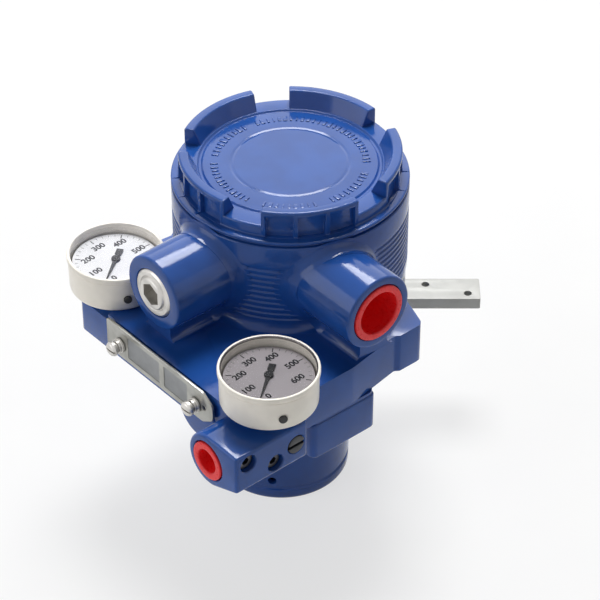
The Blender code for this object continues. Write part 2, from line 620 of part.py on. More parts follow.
def housing_bores():
    """Returns the cutters of every bore and pocket in the housing."""
    over = SEAT_GAP * 10
    cutters = [revolve("cavity", [(0, CAVITY_FLOOR_Z), (CAVITY_RADIUS, CAVITY_FLOOR_Z),
                                  (CAVITY_RADIUS, BARREL_TOP_Z + over), (0, BARREL_TOP_Z + over)],
                       FACETS_LARGE)]
    plug_seat = CONDUIT_PLUG_LENGTH + SEAT_GAP
    cutters.append(stepped_bore("left_bore", (LEFT_ENTRY_X, LEFT_ENTRY_END_Y, ENTRY_Z), (0, 1, 0),
                                CONDUIT_PLUG_RADIUS + SEAT_GAP, plug_seat, CABLE_BORE_RADIUS,
                                -LEFT_ENTRY_END_Y))
    cap_seat = CONDUIT_CAP_LENGTH - CAP_PROUD + SEAT_GAP
    cutters.append(stepped_bore("right_bore", (RIGHT_ENTRY_END_X, RIGHT_ENTRY_Y, ENTRY_Z), (-1, 0, 0),
                                CONDUIT_CAP_RADIUS + SEAT_GAP, cap_seat, CABLE_BORE_RADIUS,
                                RIGHT_ENTRY_END_X))
    port_seat = PORT_CAP_LENGTH - CAP_PROUD + SEAT_GAP
    cutters.append(stepped_bore("port_bore", (PORT_X, PORT_BLOCK_FRONT_Y, PORT_Z), (0, 1, 0),
                                PORT_CAP_RADIUS + SEAT_GAP, port_seat, PORT_BORE_RADIUS,
                                PORT_BORE_DEPTH))
    for y, z in ((FRONT_PLUG_Y, FRONT_PLUG_Z), (REAR_PLUG_Y, REAR_PLUG_Z)):
        cutters.append(disc("plug_hole", PLUG_HOLE_RADIUS, PLUG_HOLE_DEPTH + over,
                            (PORT_BLOCK_RIGHT_X + over, y, z), (-1, 0, 0)))
    cutters.append(disc("switch_hole", SWITCH_RADIUS + BEARING_GAP, SWITCH_LENGTH + over,
                        (PORT_BLOCK_RIGHT_X + over, SWITCH_Y, SWITCH_Z), (-1, 0, 0), FACETS_ROUND))
    for x in (LEFT_GAUGE_X, RIGHT_GAUGE_X):
        cutters.append(disc("stem_hole", GAUGE_STEM_RADIUS + SEAT_GAP, GAUGE_STEM_DEPTH + over,
                            (x, GAUGE_Y, SLAB_TOP_Z + over), (0, 0, -1)))
    cutters.append(box("nozzle_pocket", nozzle_corner(-1, SLAB_BOTTOM_Z - over),
                       nozzle_corner(1, SLAB_BOTTOM_Z + NOZZLE_POCKET_DEPTH)))
    cutters += shaft_pockets(over)
    for x, y in block_screw_places():
        cutters.append(disc("block_thread", BLOCK_SCREW_RADIUS + SEAT_GAP, BLOCK_SCREW_DEPTH + over,
                            (x, y, SLAB_BOTTOM_Z - over)))
    for x in (PLATE_SCREW_LEFT_X, PLATE_SCREW_RIGHT_X):
        cutters.append(disc("plate_thread", PLATE_SCREW_RADIUS + SEAT_GAP, PLATE_SCREW_DEPTH + over,
                            (x, SLAB_FRONT_Y - over, plate_screw_z()), (0, 1, 0), FACETS_TINY))
    for place in module_screw_places():
        cutters.append(disc("module_thread", MODULE_SCREW_RADIUS + SEAT_GAP, MODULE_SCREW_DEPTH + over,
                            (place.x, place.y, CAVITY_FLOOR_Z - MODULE_SCREW_DEPTH), facets=FACETS_TINY))
    return cutters


def stepped_bore(name, mouth, axis, radius, depth, inner_radius, inner_depth):
    """Makes the cutter of a bore that is wide at its mouth and narrow behind."""
    over = SEAT_GAP * 10
    profile = [(0, -over), (radius, -over), (radius, depth), (inner_radius, depth),
               (inner_radius, inner_depth), (0, inner_depth)]
    return revolve(name, profile, FACETS_MEDIUM, mouth, axis)


def nozzle_corner(side, z):
    """Returns a corner of the pocket for the electro-pneumatic module."""
    return (NOZZLE_POCKET_X + side * NOZZLE_POCKET_LENGTH / 2,
            NOZZLE_POCKET_Y + side * NOZZLE_POCKET_WIDTH / 2, z)


def sensor_place():
    """Returns where the sensor's pinion meets the sector, in plan."""
    return (SHAFT_X + GEAR_CENTRES, SHAFT_Y)


def hull_outline(first, first_radius, second, second_radius, steps=14):
    """Returns the outline round two circles side by side along X, the first at the left."""
    spread = math.degrees(math.acos((first_radius - second_radius) / (second[0] - first[0])))
    return (arc(first[0], first[1], first_radius, spread, 360 - spread, 2 * steps)
            + arc(second[0], second[1], second_radius, -spread, spread, steps))


def shaft_pockets(over):
    """Returns the cutters of the gear pocket, the recess of its plate and the socket of the shaft."""
    place = sensor_place()
    recess = hull_outline((SHAFT_X, SHAFT_Y), SHAFT_PLATE_RADIUS + SEAT_GAP, place,
                          SENSOR_PLATE_RADIUS + SEAT_GAP)
    pocket = hull_outline((SHAFT_X, SHAFT_Y), GEAR_POCKET_RADIUS, place, SENSOR_POCKET_RADIUS)
    depth = SHAFT_PLATE_THICKNESS + SEAT_GAP
    socket = SHAFT_RADIUS + BEARING_GAP
    cutters = [extrude("recess", recess, depth + over, (0, 0, SLAB_BOTTOM_Z - over)),
               extrude("gear_pocket", pocket, GEAR_POCKET_DEPTH + over, (0, 0, SLAB_BOTTOM_Z - over)),
               disc("shaft_socket", socket, GEAR_POCKET_DEPTH + SHAFT_SOCKET_DEPTH,
                    (SHAFT_X, SHAFT_Y, SLAB_BOTTOM_Z), facets=FACETS_ROUND)]
    for x, y in shaft_plate_screw_places():
        cutters.append(disc("plate_hole", SHAFT_PLATE_SCREW_RADIUS + SEAT_GAP,
                            SHAFT_PLATE_SCREW_LENGTH + 2 * SEAT_GAP, (x, y, SLAB_BOTTOM_Z),
                            facets=FACETS_TINY))
    return cutters


def shaft_plate_screw_places():
    """Returns the plan of the two screws that hold the shaft plate."""
    left = SHAFT_X - (SHAFT_PLATE_RADIUS + GEAR_POCKET_RADIUS) / 2
    right = sensor_place()[0] + (SENSOR_PLATE_RADIUS + SENSOR_POCKET_RADIUS) / 2
    return [(left, SHAFT_Y), (right, SHAFT_Y)]


def block_screw_places():
    """Returns the plan of the four screws that hold the relay block to the slab."""
    lobe_x = SLAB_RIGHT_X - 3 * BLOCK_SCREW_HEAD_RADIUS / 2
    inset = 3 * BLOCK_SCREW_HEAD_RADIUS / 2
    left_x = CUP_X - CUP_RADIUS - BLOCK_SCREW_HEAD_RADIUS
    return [(lobe_x, BLOCK_LOBE_FRONT_Y + inset), (lobe_x, BLOCK_LOBE_BACK_Y - inset),
            (left_x, CUP_Y + inset), (left_x, CUP_Y - inset)]


def block_outline():
    """Returns the relay block's plan: a disc with one square lobe to the right and one to the left."""
    ear_x = CUP_X - CUP_RADIUS - 2.2 * BLOCK_SCREW_HEAD_RADIUS
    ear_y = 2.6 * BLOCK_SCREW_HEAD_RADIUS
    meet = math.degrees(math.asin((BLOCK_LOBE_BACK_Y - CUP_Y) / BLOCK_DISC_RADIUS))
    leave = math.degrees(math.asin(ear_y / BLOCK_DISC_RADIUS))
    back = arc(CUP_X, CUP_Y, BLOCK_DISC_RADIUS, meet, 180 - leave, 18)
    front = arc(CUP_X, CUP_Y, BLOCK_DISC_RADIUS, 180 + leave, 270, 8)
    return ([(SLAB_RIGHT_X, BLOCK_LOBE_FRONT_Y), (SLAB_RIGHT_X, BLOCK_LOBE_BACK_Y)] + back
            + [(ear_x, CUP_Y + ear_y), (ear_x, CUP_Y - ear_y)] + front)


def build_relay_block():
    """Makes the relay block, the gasket above it and the four screws that hold it."""
    block = soften(extrude("relay_block", block_outline(), BLOCK_HEIGHT, (0, 0, BLOCK_BOTTOM_Z)),
                   BLOCK_EDGE)
    spigot = CUP_RADIUS - CUP_WALL - SEAT_GAP
    join(block, revolve("spigot", spigot_profile(spigot), FACETS_MEDIUM, (CUP_X, CUP_Y, 0)))
    head_room = BLOCK_SCREW_HEAD_HEIGHT + SEAT_GAP
    for x, y in block_screw_places():
        low = BLOCK_BOTTOM_Z - SEAT_GAP
        cut(block, revolve("counterbore", [
            (0, low), (BLOCK_SCREW_HEAD_RADIUS + SEAT_GAP, low),
            (BLOCK_SCREW_HEAD_RADIUS + SEAT_GAP, BLOCK_BOTTOM_Z + head_room),
            (BLOCK_SCREW_RADIUS + SEAT_GAP, BLOCK_BOTTOM_Z + head_room),
            (BLOCK_SCREW_RADIUS + SEAT_GAP, SLAB_TOP_Z), (0, SLAB_TOP_Z)], FACETS_SMALL, (x, y, 0)))
    finish(block, BLUE_PAINT)
    gasket = extrude("relay_gasket", block_outline(), GASKET_THICKNESS, (0, 0, GASKET_Z))
    for x, y in block_screw_places():
        cut(gasket, disc("hole", BLOCK_SCREW_RADIUS + SEAT_GAP, 3 * GASKET_THICKNESS,
                         (x, y, GASKET_Z - GASKET_THICKNESS), facets=FACETS_TINY))
    finish(gasket, RUBBER)
    for index, (x, y) in enumerate(block_screw_places(), 1):
        finish(cap_screw(f"relay_block_screw_{index}", (x, y, BLOCK_BOTTOM_Z), (0, 0, 1)), ZINC)


def spigot_profile(radius):
    """Returns the spigot that the cup screws onto, with the groove of its seal."""
    low = BLOCK_BOTTOM_Z - SPIGOT_HEIGHT
    middle = BLOCK_BOTTOM_Z - SPIGOT_HEIGHT / 2
    groove = radius - 2 * RELAY_SEAL_RADIUS - SEAT_GAP
    half = RELAY_SEAL_RADIUS + SEAT_GAP
    return [(0, low), (radius - BLOCK_EDGE, low), (radius, low + BLOCK_EDGE / 2), (radius, middle - half),
            (groove, middle - half), (groove, middle + half), (radius, middle + half),
            (radius, BLOCK_BOTTOM_Z + BLOCK_EDGE), (0, BLOCK_BOTTOM_Z + BLOCK_EDGE)]


def cap_screw(name, location, axis):
    """Makes a socket-head screw of the relay block, from its head's outer face inwards."""
    tip = BLOCK_TOP_Z + 2 * SEAT_GAP + GASKET_THICKNESS + BLOCK_SCREW_DEPTH - SEAT_GAP - BLOCK_BOTTOM_Z
    profile = [(0, BLOCK_SCREW_HEAD_HEIGHT / 2), (BLOCK_SCREW_RADIUS, BLOCK_SCREW_HEAD_HEIGHT / 2),
               (BLOCK_SCREW_RADIUS, 0), (BLOCK_SCREW_HEAD_RADIUS, 0),
               (BLOCK_SCREW_HEAD_RADIUS, BLOCK_SCREW_HEAD_HEIGHT),
               (BLOCK_SCREW_RADIUS, BLOCK_SCREW_HEAD_HEIGHT), (BLOCK_SCREW_RADIUS, tip), (0, tip)]
    return revolve(name, profile, FACETS_TINY, location, axis)


def build_relay_cup():
    """Makes the round cup under the relay block, with its seal and vent hole."""
    inner = CUP_RADIUS - CUP_WALL
    edge = [(CUP_RADIUS - CUP_EDGE_RADIUS + CUP_EDGE_RADIUS * math.sin(math.radians(a)),
             CUP_EDGE_RADIUS - CUP_EDGE_RADIUS * math.cos(math.radians(a))) for a in (0, 30, 60, 90)]
    profile = [(0, 0)] + edge + [(CUP_RADIUS, CUP_HEIGHT - ENTRY_EDGE),
                                 (CUP_RADIUS - ENTRY_EDGE, CUP_HEIGHT), (inner, CUP_HEIGHT),
                                 (inner, CUP_WALL), (0, CUP_WALL)]
    cup = revolve("relay_cover", profile, FACETS_MEDIUM, (CUP_X, CUP_Y, 0))
    vent = polar(CUP_RADIUS - 2 * CUP_WALL, CUP_VENT_ANGLE, CUP_VENT_HEIGHT, (CUP_X, CUP_Y))
    outward = polar(1, CUP_VENT_ANGLE)
    cut(cup, disc("vent", CUP_VENT_RADIUS, 3 * CUP_WALL, vent, outward, FACETS_TINY))
    finish(cup, BLUE_PAINT)
    seal = CUP_RADIUS - CUP_WALL - SEAT_GAP - RELAY_SEAL_RADIUS
    finish(ring("relay_cover_seal", seal, RELAY_SEAL_RADIUS,
                (CUP_X, CUP_Y, BLOCK_BOTTOM_Z - SPIGOT_HEIGHT / 2), FACETS_MEDIUM, 5), RUBBER)


def build_pilot_relay():
    """Makes the pilot relay that hangs in the cup: body, spool and spring."""
    top = BLOCK_BOTTOM_Z - SPIGOT_HEIGHT - SEAT_GAP
    bottom = top - RELAY_HEIGHT
    bore = RELAY_BORE_RADIUS
    bore_floor = bottom + RELAY_FLOOR
    body = revolve("pilot_relay", [
        (0, bottom), (RELAY_RADIUS - BLOCK_EDGE, bottom), (RELAY_RADIUS, bottom + BLOCK_EDGE),
        (RELAY_RADIUS, top - RELAY_FLANGE_HEIGHT), (RELAY_FLANGE_RADIUS, top - RELAY_FLANGE_HEIGHT),
        (RELAY_FLANGE_RADIUS, top), (bore, top), (bore, bore_floor), (0, bore_floor)],
        FACETS_MEDIUM, (CUP_X, CUP_Y, 0))
    cut(body, ring("groove", RELAY_RADIUS, BLOCK_EDGE, (CUP_X, CUP_Y, bottom + RELAY_HEIGHT / 2),
                   FACETS_MEDIUM, 6))
    finish(body, ALUMINIUM)
    land = bore - BEARING_GAP
    spool_top = top - SPOOL_STROKE - SEAT_GAP
    spool_low = spool_top - SPOOL_LENGTH
    spool = revolve("relay_spool", [
        (0, spool_low), (land, spool_low), (land, spool_low + SPOOL_LAND_HEIGHT),
        (SPOOL_STEM_RADIUS, spool_low + SPOOL_LAND_HEIGHT),
        (SPOOL_STEM_RADIUS, spool_top - SPOOL_LAND_HEIGHT), (land, spool_top - SPOOL_LAND_HEIGHT),
        (land, spool_top), (0, spool_top)], FACETS_ROUND)
    spool.location = (CUP_X, CUP_Y, 0)
    finish(spool, STEEL)
    room = spool_low - SPOOL_STROKE - bore_floor - 2 * SEAT_GAP - 2 * SPRING_WIRE_RADIUS
    start = Vector((CUP_X, CUP_Y, bore_floor + SEAT_GAP + SPRING_WIRE_RADIUS))
    coil = coil_spring("relay_spring", start, bore - SPRING_WIRE_RADIUS - 2 * SEAT_GAP, room)
    finish(coil, STEEL)


def coil_spring(name, start, radius, height):
    """Winds a round wire up the Z axis as one closed tube."""
    per_turn = 12
    sides = 5
    count = SPRING_TURNS * per_turn
    shape = bmesh.new()
    loops = []
    for step in range(count + 1):
        turn = math.tau * step / per_turn
        centre = start + Vector((radius * math.cos(turn), radius * math.sin(turn), height * step / count))
        out = Vector((math.cos(turn), math.sin(turn), 0))
        loops.append([shape.verts.new(
            centre + SPRING_WIRE_RADIUS * (out * math.cos(math.tau * k / sides)
                                           + UP * math.sin(math.tau * k / sides))) for k in range(sides)])
    for low, high in zip(loops, loops[1:]):
        for k in range(sides):
            shape.faces.new((low[k], low[(k + 1) % sides], high[(k + 1) % sides], high[k]))
    shape.faces.new(loops[0])
    shape.faces.new(list(reversed(loops[-1])))
    return make_object(name, shape)


def sector_cutter(name, inner, outer, start, end, low, high, steps=4):
    """Makes a cutter between two radii and two angles."""
    outline = arc(0, 0, outer, start, end, steps) + arc(0, 0, inner, end, start, steps)
    return extrude(name, outline, high - low, (0, 0, low))


def build_cover():
    """Makes the screw cover with its castellated lugs, and the O-ring under its flange."""
    skirt = CAVITY_RADIUS - COVER_SKIRT_GAP
    groove_in = skirt
    groove_out = skirt + 2 * COVER_SEAL_RADIUS + 2 * SEAT_GAP
    groove_top = COVER_Z + 2 * COVER_SEAL_RADIUS + SEAT_GAP
    under = COVER_PLATE_Z - COVER_PLATE_THICKNESS
    step_in = COVER_STEP_RADIUS - COVER_STEP_WIDTH
    lug_top = COVER_PLATE_Z + LUG_HEIGHT
    profile = [
        (0, under), (skirt - COVER_SKIRT_WALL, under),
        (skirt - COVER_SKIRT_WALL, COVER_Z - THREAD_TURNS * THREAD_PITCH),
        (skirt, COVER_Z - THREAD_TURNS * THREAD_PITCH), (groove_in, groove_top), (groove_out, groove_top),
        (groove_out, COVER_Z), (BARREL_RADIUS - ENTRY_EDGE / 2, COVER_Z),
        (BARREL_RADIUS, COVER_Z + ENTRY_EDGE / 2), (BARREL_RADIUS, COVER_Z + COVER_FLANGE_HEIGHT),
        (COVER_BODY_RADIUS, COVER_Z + COVER_FLANGE_HEIGHT + ENTRY_EDGE / 2),
        (COVER_BODY_RADIUS, lug_top - LUG_TOP_TAPER), (COVER_BODY_RADIUS - LUG_TOP_TAPER, lug_top),
        (COVER_BODY_RADIUS - LUG_TOP_TAPER - LUG_TOP_WIDTH, lug_top),
        (COVER_BODY_RADIUS - LUG_FOOT_WIDTH, COVER_PLATE_Z), (COVER_STEP_RADIUS, COVER_PLATE_Z),
        (COVER_STEP_RADIUS - COVER_STEP_WIDTH / 2, COVER_PLATE_Z - COVER_STEP_DEPTH),
        (step_in, COVER_PLATE_Z), (COVER_GROOVE_RADIUS, COVER_PLATE_Z),
        (COVER_GROOVE_RADIUS - COVER_STEP_WIDTH / 2, COVER_PLATE_Z - COVER_STEP_DEPTH),
        (COVER_GROOVE_RADIUS - COVER_STEP_WIDTH, COVER_PLATE_Z), (0, COVER_PLATE_Z)]
    cover = revolve("cover", profile, FACETS_LARGE)
    pitch = 360 / LUG_COUNT
    gap = pitch - LUG_SPAN
    foot = COVER_BODY_RADIUS - LUG_FOOT_WIDTH
    cutters = []
    pocket_span = (LUG_SPAN - (LUG_POCKETS + 1) * LUG_RIB_ANGLE) / LUG_POCKETS
    for lug in range(LUG_COUNT):
        centre = LUG_FIRST_CENTRE + lug * pitch
        edge = centre + LUG_SPAN / 2
        cutters.append(sector_cutter("gap", (foot + COVER_STEP_RADIUS) / 2, BARREL_RADIUS, edge,
                                     edge + gap, COVER_PLATE_Z - LUG_GAP_STEP, 2 * lug_top))
        for pocket in range(LUG_POCKETS):
            start = centre - LUG_SPAN / 2 + LUG_RIB_ANGLE + pocket * (pocket_span + LUG_RIB_ANGLE)
            cutters.append(sector_cutter(
                "pocket", COVER_BODY_RADIUS - LUG_POCKET_DEPTH, BARREL_RADIUS, start,
                start + pocket_span, COVER_Z + COVER_FLANGE_HEIGHT + ENTRY_EDGE,
                lug_top - LUG_POCKET_MARGIN))
    cut(cover, gather("cutters", cutters))
    finish(cover, BLUE_PAINT)
    seal_radius = skirt + COVER_SEAL_RADIUS + SEAT_GAP
    seal_place = (0, 0, COVER_Z + COVER_SEAL_RADIUS)
    finish(ring("cover_seal", seal_radius, COVER_SEAL_RADIUS, seal_place, FACETS_LARGE, 5), RUBBER)


def build_entry_stoppers():
    """Makes the hexagon-socket plug of the left entry and the dust caps of the other openings."""
    rim = CONDUIT_PLUG_LENGTH + CONDUIT_PLUG_RIM_HEIGHT
    wall = CONDUIT_PLUG_RADIUS - ENTRY_EDGE
    plug = revolve("conduit_plug", [
        (0, 0), (wall, 0), (CONDUIT_PLUG_RADIUS, ENTRY_EDGE), (CONDUIT_PLUG_RADIUS, CONDUIT_PLUG_LENGTH),
        (wall, CONDUIT_PLUG_LENGTH + ENTRY_EDGE / 2), (CONDUIT_PLUG_RIM_INNER, CONDUIT_PLUG_LENGTH),
        (CONDUIT_PLUG_RIM_INNER - ENTRY_EDGE / 2, rim), (0, rim)], FACETS_MEDIUM,
        (LEFT_ENTRY_X, LEFT_ENTRY_END_Y + CONDUIT_PLUG_LENGTH, ENTRY_Z), (0, -1, 0))
    socket_turn = axis_turn((0, -1, 0))
    socket_y = LEFT_ENTRY_END_Y - CONDUIT_PLUG_RIM_HEIGHT + CONDUIT_HEX_DEPTH
    cut(plug, extrude("socket", regular(CONDUIT_HEX_RADIUS, 6, 30), 2 * CONDUIT_HEX_DEPTH,
                      (LEFT_ENTRY_X, socket_y, ENTRY_Z), socket_turn))
    finish(plug, ZINC)
    cap = dust_cap("conduit_cap", CONDUIT_CAP_RADIUS, CONDUIT_CAP_INNER, CONDUIT_CAP_LENGTH,
                   (RIGHT_ENTRY_END_X + CAP_PROUD, RIGHT_ENTRY_Y, ENTRY_Z), (1, 0, 0))
    finish(cap, RED_PLASTIC)
    cap = dust_cap("port_cap", PORT_CAP_RADIUS, PORT_CAP_INNER, PORT_CAP_LENGTH,
                   (PORT_X, PORT_BLOCK_FRONT_Y - CAP_PROUD, PORT_Z), (0, -1, 0))
    finish(cap, RED_PLASTIC)


def dust_cap(name, radius, inner, length, mouth, axis):
    """Makes a hollow push-in cap, open at its mouth and closed at its inner end."""
    draft = ENTRY_EDGE / 2
    profile = [(0, -length), (radius - ENTRY_EDGE, -length), (radius, -length + ENTRY_EDGE),
               (radius, -draft), (radius - draft, 0), (inner + draft, 0), (inner, -draft),
               (inner - draft, -length + CAP_END_WALL), (0, -length + CAP_END_WALL)]
    return revolve(name, profile, FACETS_MEDIUM, mouth, axis)


def build_block_fittings():
    """Makes the two block plugs and the auto-manual switch screw of the port block."""
    for name, y, z in (("front_block_plug", FRONT_PLUG_Y, FRONT_PLUG_Z),
                       ("rear_block_plug", REAR_PLUG_Y, REAR_PLUG_Z)):
        seat = (PORT_BLOCK_RIGHT_X - PLUG_HOLE_DEPTH + SEAT_GAP, y, z)
        plug = disc(name, PLUG_HOLE_RADIUS - SEAT_GAP, PLUG_LENGTH, seat, (1, 0, 0), FACETS_SMALL,
                    ENTRY_EDGE / 2)
        face = (seat[0] + PLUG_LENGTH - PLUG_SOCKET_DEPTH, y, z)
        cut(plug, extrude("socket", regular(PLUG_SOCKET_RADIUS, 6), 2 * PLUG_SOCKET_DEPTH, face,
                          axis_turn((1, 0, 0))))
        finish(plug, ZINC)
    seat_x = PORT_BLOCK_RIGHT_X - SWITCH_LENGTH + SEAT_GAP
    switch = disc("mode_switch", SWITCH_RADIUS, SWITCH_LENGTH, (0, 0, 0), (1, 0, 0), FACETS_ROUND,
                  ENTRY_EDGE / 2)
    slot_half = SWITCH_SLOT_WIDTH / 2
    cut(switch, box("slot", (SWITCH_LENGTH - SWITCH_SLOT_DEPTH, -2 * SWITCH_RADIUS, -slot_half),
                    (2 * SWITCH_LENGTH, 2 * SWITCH_RADIUS, slot_half)))
    switch.location = (seat_x, SWITCH_Y, SWITCH_Z)
    finish(switch, BLACK_PAINT)


def build_gauge(side, x):
    """Makes one pressure gauge: case, vent plug, window, dial, pointer, movement, tube, stem."""
    centre = Vector((x, GAUGE_Y, 0))
    case_top = GAUGE_TOP_Z
    inner = GAUGE_RADIUS - GAUGE_WALL
    lip = GAUGE_RADIUS - GAUGE_BEZEL_LIP
    stem_hole = GAUGE_STEM_RADIUS + SEAT_GAP
    case = revolve(side + "_gauge_case", [
        (stem_hole, GAUGE_BOTTOM_Z), (GAUGE_RADIUS - 2 * GAUGE_WALL, GAUGE_BOTTOM_Z),
        (GAUGE_RADIUS - GAUGE_WALL / 2, GAUGE_BOTTOM_Z + 1.5 * GAUGE_WALL),
        (GAUGE_RADIUS - GAUGE_WALL / 2, case_top - GAUGE_BEZEL_HEIGHT - GAUGE_WALL / 2),
        (GAUGE_RADIUS, case_top - GAUGE_BEZEL_HEIGHT), (GAUGE_RADIUS, case_top - GAUGE_WALL / 2),
        (GAUGE_RADIUS - GAUGE_WALL / 2, case_top), (lip, case_top),
        (lip, case_top - GAUGE_WALL / 2), (inner - GAUGE_WALL / 2, case_top - GAUGE_WALL),
        (inner - GAUGE_WALL / 2, GAUGE_BOTTOM_Z + GAUGE_WALL), (stem_hole, GAUGE_BOTTOM_Z + GAUGE_WALL)],
        FACETS_MEDIUM, centre)
    vent_z = case_top - GAUGE_VENT_DROP
    vent = polar(inner - 2 * GAUGE_WALL, GAUGE_VENT_ANGLE, vent_z, centre)
    outward = polar(1, GAUGE_VENT_ANGLE)
    cut(case, disc("vent", GAUGE_VENT_RADIUS + SEAT_GAP, 5 * GAUGE_WALL, vent, outward, FACETS_TINY))
    finish(case, CREAM_PAINT)
    skin = GAUGE_RADIUS - GAUGE_WALL / 2 - (inner - 2 * GAUGE_WALL)
    plug = revolve(side + "_gauge_vent_plug", [
        (0, 0), (GAUGE_VENT_RADIUS, 0), (GAUGE_VENT_RADIUS, skin + SEAT_GAP),
        (GAUGE_VENT_HEAD_RADIUS, skin + SEAT_GAP),
        (GAUGE_VENT_HEAD_RADIUS, skin + SEAT_GAP + GAUGE_WALL / 2),
        (GAUGE_VENT_RADIUS, skin + SEAT_GAP + GAUGE_WALL),
        (0, skin + SEAT_GAP + GAUGE_WALL)], FACETS_TINY, vent, outward)
    finish(plug, RUBBER)
    window_radius = inner - GAUGE_WALL / 2 - SEAT_GAP
    window_top = case_top - GAUGE_WALL - SEAT_GAP
    window = disc(side + "_gauge_window", window_radius, GAUGE_WINDOW_THICKNESS,
                  centre + UP * (window_top - GAUGE_WINDOW_THICKNESS), facets=FACETS_MEDIUM)
    finish(window, GLASS)
    dial = revolve(side + "_gauge_dial", [
        (GAUGE_ARBOR_RADIUS + SEAT_GAP, GAUGE_DIAL_Z - GAUGE_DIAL_THICKNESS),
        (GAUGE_DIAL_RADIUS, GAUGE_DIAL_Z - GAUGE_DIAL_THICKNESS), (GAUGE_DIAL_RADIUS, GAUGE_DIAL_Z),
        (GAUGE_ARBOR_RADIUS + SEAT_GAP, GAUGE_DIAL_Z)], FACETS_MEDIUM, centre)
    finish(dial, DIAL_WHITE)
    movement_z = GAUGE_DIAL_Z - GAUGE_DIAL_THICKNESS - SEAT_GAP - MOVEMENT_HEIGHT
    build_pointer(side, centre, movement_z)
    build_movement(side, centre, movement_z)


def build_pointer(side, centre, movement_z):
    """Makes the pointer with its arbor; its origin is on the arbor's axis."""
    tip = POINTER_TIP_WIDTH / 2
    root = POINTER_ROOT_WIDTH / 2
    tail = POINTER_TAIL_WIDTH / 2
    outline = [(POINTER_LENGTH, -tip), (POINTER_LENGTH, tip), (0, root), (-POINTER_TAIL, tail),
               (-POINTER_TAIL, -tail), (0, -root)]
    pointer = extrude(side + "_gauge_pointer", outline, POINTER_THICKNESS)
    join(pointer, disc("hub", POINTER_HUB_RADIUS, 2 * POINTER_THICKNESS, (0, 0, -POINTER_LIFT / 2),
                       facets=FACETS_SMALL))
    depth = GAUGE_DIAL_Z + POINTER_LIFT - movement_z - SEAT_GAP
    join(pointer, disc("arbor", GAUGE_ARBOR_RADIUS, depth, (0, 0, -depth), facets=FACETS_TINY))
    pointer.data.transform(Matrix.Rotation(math.radians(POINTER_REST_ANGLE), 4, "Z"))
    pointer.location = centre + UP * (GAUGE_DIAL_Z + POINTER_LIFT)
    finish(pointer, BLACK_PAINT)


def build_movement(side, centre, movement_z):
    """Makes the movement frame, the curved pressure tube and the threaded stem."""
    arbor = GAUGE_ARBOR_RADIUS + BEARING_GAP
    plate = MOVEMENT_PLATE
    waist = arbor + MOVEMENT_WAIST_WALL
    top = movement_z + MOVEMENT_HEIGHT
    movement = revolve(side + "_gauge_movement", [
        (arbor, movement_z), (MOVEMENT_RADIUS, movement_z), (MOVEMENT_RADIUS, movement_z + plate),
        (waist, movement_z + plate), (waist, top - plate), (MOVEMENT_RADIUS, top - plate),
        (MOVEMENT_RADIUS, top), (arbor, top)], FACETS_SMALL, centre)
    finish(movement, BRASS)
    tube_z = movement_z + MOVEMENT_HEIGHT / 2
    tube = bent_tube(side + "_gauge_tube", centre + UP * tube_z)
    finish(tube, COPPER)
    stem_low = SLAB_TOP_Z - GAUGE_STEM_DEPTH + SEAT_GAP
    stem_top = movement_z - SEAT_GAP
    inside = GAUGE_BOTTOM_Z + GAUGE_WALL + SEAT_GAP
    stem = revolve(side + "_gauge_stem", [
        (0, stem_low), (GAUGE_STEM_RADIUS - ENTRY_EDGE / 2, stem_low),
        (GAUGE_STEM_RADIUS, stem_low + ENTRY_EDGE / 2), (GAUGE_STEM_RADIUS, inside),
        (GAUGE_STEM_FLANGE, inside), (GAUGE_STEM_FLANGE, stem_top), (0, stem_top)], FACETS_SMALL, centre)
    half = TUBE_RADIUS
    outer = TUBE_BEND_RADIUS + TUBE_RADIUS
    turn = Matrix.Rotation(math.radians(tube_angle(0)), 4, "Z")
    arm = [(0, -half), (outer, -half), (outer, half), (0, half)]
    post = [(outer - 2 * half, -half), (outer, -half), (outer, half), (outer - 2 * half, half)]
    join(stem, extrude("arm", arm, (stem_top - inside) / 2, centre + UP * inside, turn),
         extrude("post", post, tube_z - TUBE_RADIUS - SEAT_GAP - inside, centre + UP * inside, turn))
    finish(stem, BRASS)


def tube_angle(share):
    """Returns the angle of the spring tube's centre line at a share of its length."""
    return POINTER_REST_ANGLE + TUBE_SWEEP * (share - 0.5) + 180


def bent_tube(name, centre):
    """Bends a round tube into the open circle of a pressure gauge's spring tube."""
    steps = 20
    sides = 6
    shape = bmesh.new()
    loops = []
    for step in range(steps + 1):
        turn = math.radians(tube_angle(step / steps))
        out = Vector((math.cos(turn), math.sin(turn), 0))
        place = centre + out * TUBE_BEND_RADIUS
        loops.append([shape.verts.new(place + TUBE_RADIUS * (out * math.cos(math.tau * k / sides)
                                                              + UP * math.sin(math.tau * k / sides)))
                      for k in range(sides)])
    for low, high in zip(loops, loops[1:]):
        for k in range(sides):
            shape.faces.new((low[k], low[(k + 1) % sides], high[(k + 1) % sides], high[k]))
    shape.faces.new(loops[0])
    shape.faces.new(list(reversed(loops[-1])))
    return make_object(name, shape)


def plate_screw_z():
    """Returns the height of the name plate's screws."""
    return SLAB_TOP_Z + PLATE_RISE - PLATE_SCREW_DROP


